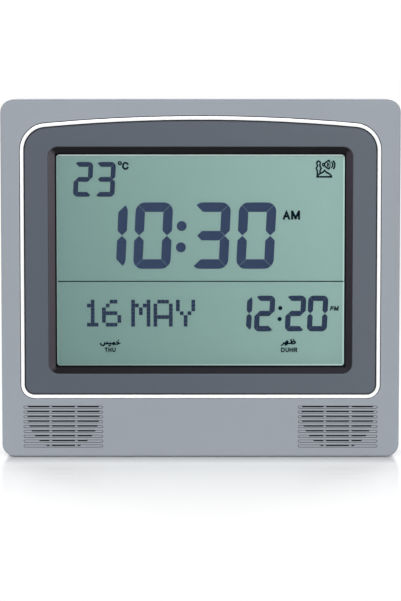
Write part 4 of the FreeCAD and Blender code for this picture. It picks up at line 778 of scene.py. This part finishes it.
# The two words in Arabic script, as pen strokes and dots.
PEN = 0.8
PEN_DOT = 0.42
THURSDAY_SCRIPT = [
    (-55.7, 63.2), (-55.5, 62.3), (-54.9, 61.8), (-54.2, 61.7), (-53.6, 62.2), (-53.3, 63.2), (-53.0, 62.7),
    (-52.4, 62.75), (-52.0, 63.4), (-51.65, 62.75), (-50.6, 62.7), (-50.3, 63.2), (-50.1, 62.7),
    (-49.0, 62.65), (-48.6, 63.3), (-48.15, 63.5), (-47.75, 62.85), (-48.35, 62.2), (-48.8, 62.6),
    (-47.9, 62.6), (-46.3, 62.45), (-45.0, 63.0), (-45.7, 63.2), (-46.4, 63.6), (-46.9, 64.0)]
NOON_TAIL = [(46.2, 63.5), (46.3, 62.9), (45.8, 62.2), (44.8, 61.7)]
NOON_BASE = [(46.2, 63.0), (47.2, 62.95), (48.2, 63.1), (49.4, 62.9), (50.5, 63.0)]
NOON_KNOT = [(47.1, 62.95), (47.3, 62.0), (48.1, 62.4), (48.6, 63.3), (48.55, 64.15), (48.1, 64.3),
             (47.5, 63.5), (47.1, 62.95)]
NOON_LOOP = [(50.5, 63.0), (50.95, 63.75), (51.7, 64.1), (52.5, 64.0), (52.9, 63.5), (52.4, 62.9),
             (51.4, 62.7), (50.5, 63.0)]
NOON_STEM = [(50.3, 65.3), (50.45, 64.6), (50.6, 63.2)]
SCRIPT_DOTS = ((-45.7, 64.6), (-50.9, 61.65), (-50.2, 61.65), (51.85, 65.0))

for path in (THURSDAY_SCRIPT, NOON_TAIL, NOON_BASE, NOON_KNOT, NOON_LOOP, NOON_STEM):
    prints.line(path, PEN, *FIGURE_DEPTHS)
for x, z in SCRIPT_DOTS:
    prints.disc(x, z, PEN_DOT, *FIGURE_DEPTHS, sides=12)
for x, z in PRAYER_COLON:
    prints.disc(x, z, PRAYER_DOT, *FIGURE_DEPTHS)

DIVIDER_HALF = 79.4
DIVIDER_HEIGHT = 97.62
DIVIDER_WIDTH = 0.5
divider = [(-DIVIDER_HALF, DIVIDER_HEIGHT), (DIVIDER_HALF, DIVIDER_HEIGHT)]
prints.line(divider, DIVIDER_WIDTH, *FIGURE_DEPTHS)


def ring_of(x, z, radius, steps):
    """A closed path round a point."""
    turns = [math.tau * step / steps for step in range(steps + 1)]
    return [(x + radius * math.cos(turn), z + radius * math.sin(turn)) for turn in turns]


DEGREE_SIGN = ring_of(-44.63, 163.25, 0.8, 20)

# The icon: a minaret and a dome with a horn that calls above them.
MINARET = [(64.6, 156.8), (64.75, 158.6), (64.5, 159.5), (64.05, 160.45), (64.6, 161.4), (64.7, 162.3),
           (64.3, 163.2), (64.6, 164.05), (65.25, 164.4), (65.95, 164.1), (66.4, 163.45), (66.0, 162.3),
           (66.2, 161.3), (66.85, 160.35), (66.2, 159.4), (66.15, 157.9)]
DOME = [(68.5, 155.7), (64.6, 155.7), (64.6, 156.2), (65.1, 156.75), (66.35, 157.55), (67.5, 158.05),
        (68.2, 158.65), (68.7, 159.25), (69.2, 158.65), (69.8, 158.1), (70.95, 157.6), (71.8, 156.95),
        (72.4, 156.2), (72.5, 155.7), (68.5, 155.7)]
HORN_TOP = [(68.6, 162.95), (69.3, 163.7), (70.2, 164.4), (71.2, 164.9)]
HORN_FOOT = [(68.6, 161.9), (69.3, 161.2), (70.2, 160.5), (71.2, 159.95)]
HORN_RIM = [(71.1, 164.5), (71.6, 163.6), (71.75, 162.45), (71.6, 161.3), (71.1, 160.3)]
HORN_BACK = ring_of(68.05, 162.4, 0.62, 12)
NEAR_WAVE = [(72.4, 163.85), (72.95, 163.3), (73.2, 162.45), (73.0, 161.55), (72.45, 160.65)]
FAR_WAVE = [(73.25, 164.6), (73.95, 163.85), (74.3, 162.85), (74.3, 161.65), (73.95, 160.65), (73.5, 159.95)]
HORN_LIPS = ([(70.4, 164.4), (71.6, 165.15), (71.75, 163.8), (71.1, 163.8)],
             [(70.4, 160.5), (71.1, 161.15), (71.75, 161.1), (71.6, 159.65)])
HORN_THROAT = [(70.1, 163.8), (70.85, 163.5), (71.1, 162.45), (70.85, 161.4), (70.1, 161.1), (70.0, 162.45)]

for path, stroke in ((DEGREE_SIGN, 0.75), (MINARET, 0.88), (DOME, 0.9), (HORN_TOP, 0.8), (HORN_FOOT, 0.8),
                     (HORN_RIM, 0.45), (NEAR_WAVE, 0.75), (FAR_WAVE, 0.9), (HORN_BACK, 0.7)):
    prints.line(path, stroke, *FIGURE_DEPTHS)
for outline in (*HORN_LIPS, HORN_THROAT):
    prints.prism(outline, *FIGURE_DEPTHS)
prints.piece("display_prints", "case", PRINT)

# ---------------------------------------------------------------- control legends

LEGEND = ink("legend_print", shade(214, 218, 222), rough=(0.4, 0.5))
LEGEND_DEPTHS = (39.99, 40.05)
BUTTON_WORDS = {"mode_button": "MODE", "hour_button": "HOUR", "minute_button": "MIN",
                "date_button": "DATE", "city_button": "CITY", "azan_button": "AZAN"}
BUTTON_WORD_HEIGHT = 1.7
BUTTON_WORD_DROP = 6.6
SWITCH_TRAVEL = 4.0
SWITCH_WORD_HEIGHT = 1.6
SWITCH_WORD_DROP = 5.4
RESET_PLACE = 0.0
# Each switch's own word, and the words at the ends of its slot with their distance from its middle.
SWITCH_WORDS = {"azan_switch_knob": ("AZAN", ("ON", -7.5), ("OFF", 7.8)),
                "volume_switch_knob": ("VOLUME", ("LO", -7.4), ("HI", 7.2))}

legends = Shape()
for node, words in BUTTON_WORDS.items():
    x, z = middle(node)
    legends.rear_letters(words, x, z - BUTTON_WORD_DROP, BUTTON_WORD_HEIGHT, *LEGEND_DEPTHS)
switch_line = middle("azan_switch_knob")[1]
small_words = [("RESET", RESET_PLACE, SWITCH_WORD_DROP)]
for knob, (words, *ends) in SWITCH_WORDS.items():
    slot_middle = middle(knob)[0] + SWITCH_TRAVEL / 2
    small_words.append((words, slot_middle, SWITCH_WORD_DROP))
    for end, distance in ends:
        small_words.append((end, slot_middle + distance, SWITCH_WORD_HEIGHT / 2))
for words, x, drop in small_words:
    legends.rear_letters(words, x, switch_line - drop, SWITCH_WORD_HEIGHT, *LEGEND_DEPTHS)
legends.piece("panel_legends", "case", LEGEND)

# ---------------------------------------------------------------- studio


def shown(tree):
    """1 for the rays that show the white surroundings: the camera's, off metal and through glass."""
    rays = tree.nodes.new("ShaderNodeLightPath")
    share = rays.outputs["Is Camera Ray"]
    for name in ("Is Glossy Ray", "Is Transmission Ray"):
        either = tree.nodes.new("ShaderNodeMath")
        either.operation = "MAXIMUM"
        tree.links.new(share, either.inputs[0])
        tree.links.new(rays.outputs[name], either.inputs[1])
        share = either.outputs[0]
    return share


def world_light(quiet=0.12, white=1.0):
    """White for the camera and for reflections, a quiet grey for everything else."""
    world = bpy.data.worlds.new("studio")
    world.use_nodes = True
    tree = world.node_tree
    tree.nodes.clear()
    output = tree.nodes.new("ShaderNodeOutputWorld")
    mix = tree.nodes.new("ShaderNodeMixShader")
    tree.links.new(shown(tree), mix.inputs[0])
    for socket, strength in ((mix.inputs[1], quiet), (mix.inputs[2], white)):
        backdrop = tree.nodes.new("ShaderNodeBackground")
        backdrop.inputs["Color"].default_value = (1, 1, 1, 1)
        backdrop.inputs["Strength"].default_value = strength
        tree.links.new(backdrop.outputs[0], socket)
    tree.links.new(mix.outputs[0], output.inputs["Surface"])
    bpy.context.scene.world = world


def table_finish(paper=(0.79, 0.79, 0.8, 1), glow=0.475, shaded=0.12, mirror=0.305, clock_half=110.0):
    """White table, running out to plain white; it mirrors the clock faintly close in front of it.

    Its own glow falls to a share, shaded, at the foot of the clock, where little light comes.
    """
    finish = Finish("table_top")
    finish.tree.nodes.remove(finish.shader)
    x, y, _ = finish.axes()
    ahead = finish.outside(y, 0, HALF_DEPTH)
    aside = finish.outside(x, 0, clock_half)
    away = finish.larger(ahead, aside)
    seen = shown(finish.tree)
    white = finish.node("ShaderNodeBsdfDiffuse")
    white.inputs["Color"].default_value = paper
    lit = finish.node("ShaderNodeEmission")
    clear = finish.larger(finish.between(ahead, 0, 22, shaded), finish.between(aside, -6, -2, shaded))
    finish.join(finish.times(seen, finish.times(clear, glow)), lit.inputs["Strength"])
    near = finish.node("ShaderNodeAddShader")
    finish.join(white.outputs[0], near.inputs[0])
    finish.join(lit.outputs[0], near.inputs[1])
    gloss = finish.node("ShaderNodeBsdfGlossy")
    gloss.inputs["Roughness"].default_value = 0.02
    plain = finish.node("ShaderNodeEmission")
    table = finish.layer(finish.between(away, 40, 190, mirror, 0.0), near.outputs[0], gloss.outputs[0])
    open_floor = finish.times(seen, finish.between(away, 30, 300))
    finish.join(finish.layer(open_floor, table, plain.outputs[0]), finish.output.inputs["Surface"])
    return finish


def floor(half=6.0):
    """A square table top under the clock, in metres."""
    data = bpy.data.meshes.new("table_top")
    corners = [(-half, -half, 0), (half, -half, 0), (half, half, 0), (-half, half, 0)]
    data.from_pydata(corners, [], [(0, 1, 2, 3)])
    made = bpy.data.objects.new("table_top", data)
    bpy.context.scene.collection.objects.link(made)
    data.materials.append(table_finish().material)


def lamp(name, place, aim, width, height, power):
    """A soft rectangular lamp, its places in metres."""
    data = bpy.data.lights.new(name, "AREA")
    data.shape = "RECTANGLE"
    data.size = width
    data.size_y = height
    data.energy = power
    made = bpy.data.objects.new(name, data)
    made.location = place
    made.rotation_euler = (Vector(aim) - Vector(place)).to_track_quat("-Z", "Y").to_euler()
    bpy.context.scene.collection.objects.link(made)


def camera(place=(0.0, -1.515, 0.22964), tilt=5.43, lens=162.5):
    """A long lens that looks slightly down on the clock from the front."""
    data = bpy.data.cameras.new("camera")
    data.lens = lens
    made = bpy.data.objects.new("camera", data)
    made.location = place
    made.rotation_euler = (math.radians(90 - tilt), 0.0, 0.0)
    bpy.context.scene.collection.objects.link(made)
    bpy.context.scene.camera = made


world_light()
floor()
camera()
CLOCK_MIDDLE = (0, 0, 0.1)
CLOCK_BACK = (0, 0.02, 0.1)
SIDES = (("left", -1), ("right", 1))
lamp("key_box", (0.0, -2.8, 1.9), CLOCK_MIDDLE, width=2.6, height=1.8, power=92.0)
for side, across in SIDES:
    lamp(f"{side}_back_box", (across * 0.8, 2.2, 1.3), CLOCK_MIDDLE, width=0.9, height=0.9, power=28.0)
for side, across in SIDES:
    lamp(f"{side}_side_box", (across * 2.4, 0.35, 0.4), CLOCK_BACK, width=0.7, height=0.7, power=9.0)

bpy.context.scene.view_settings.view_transform = "Standard"
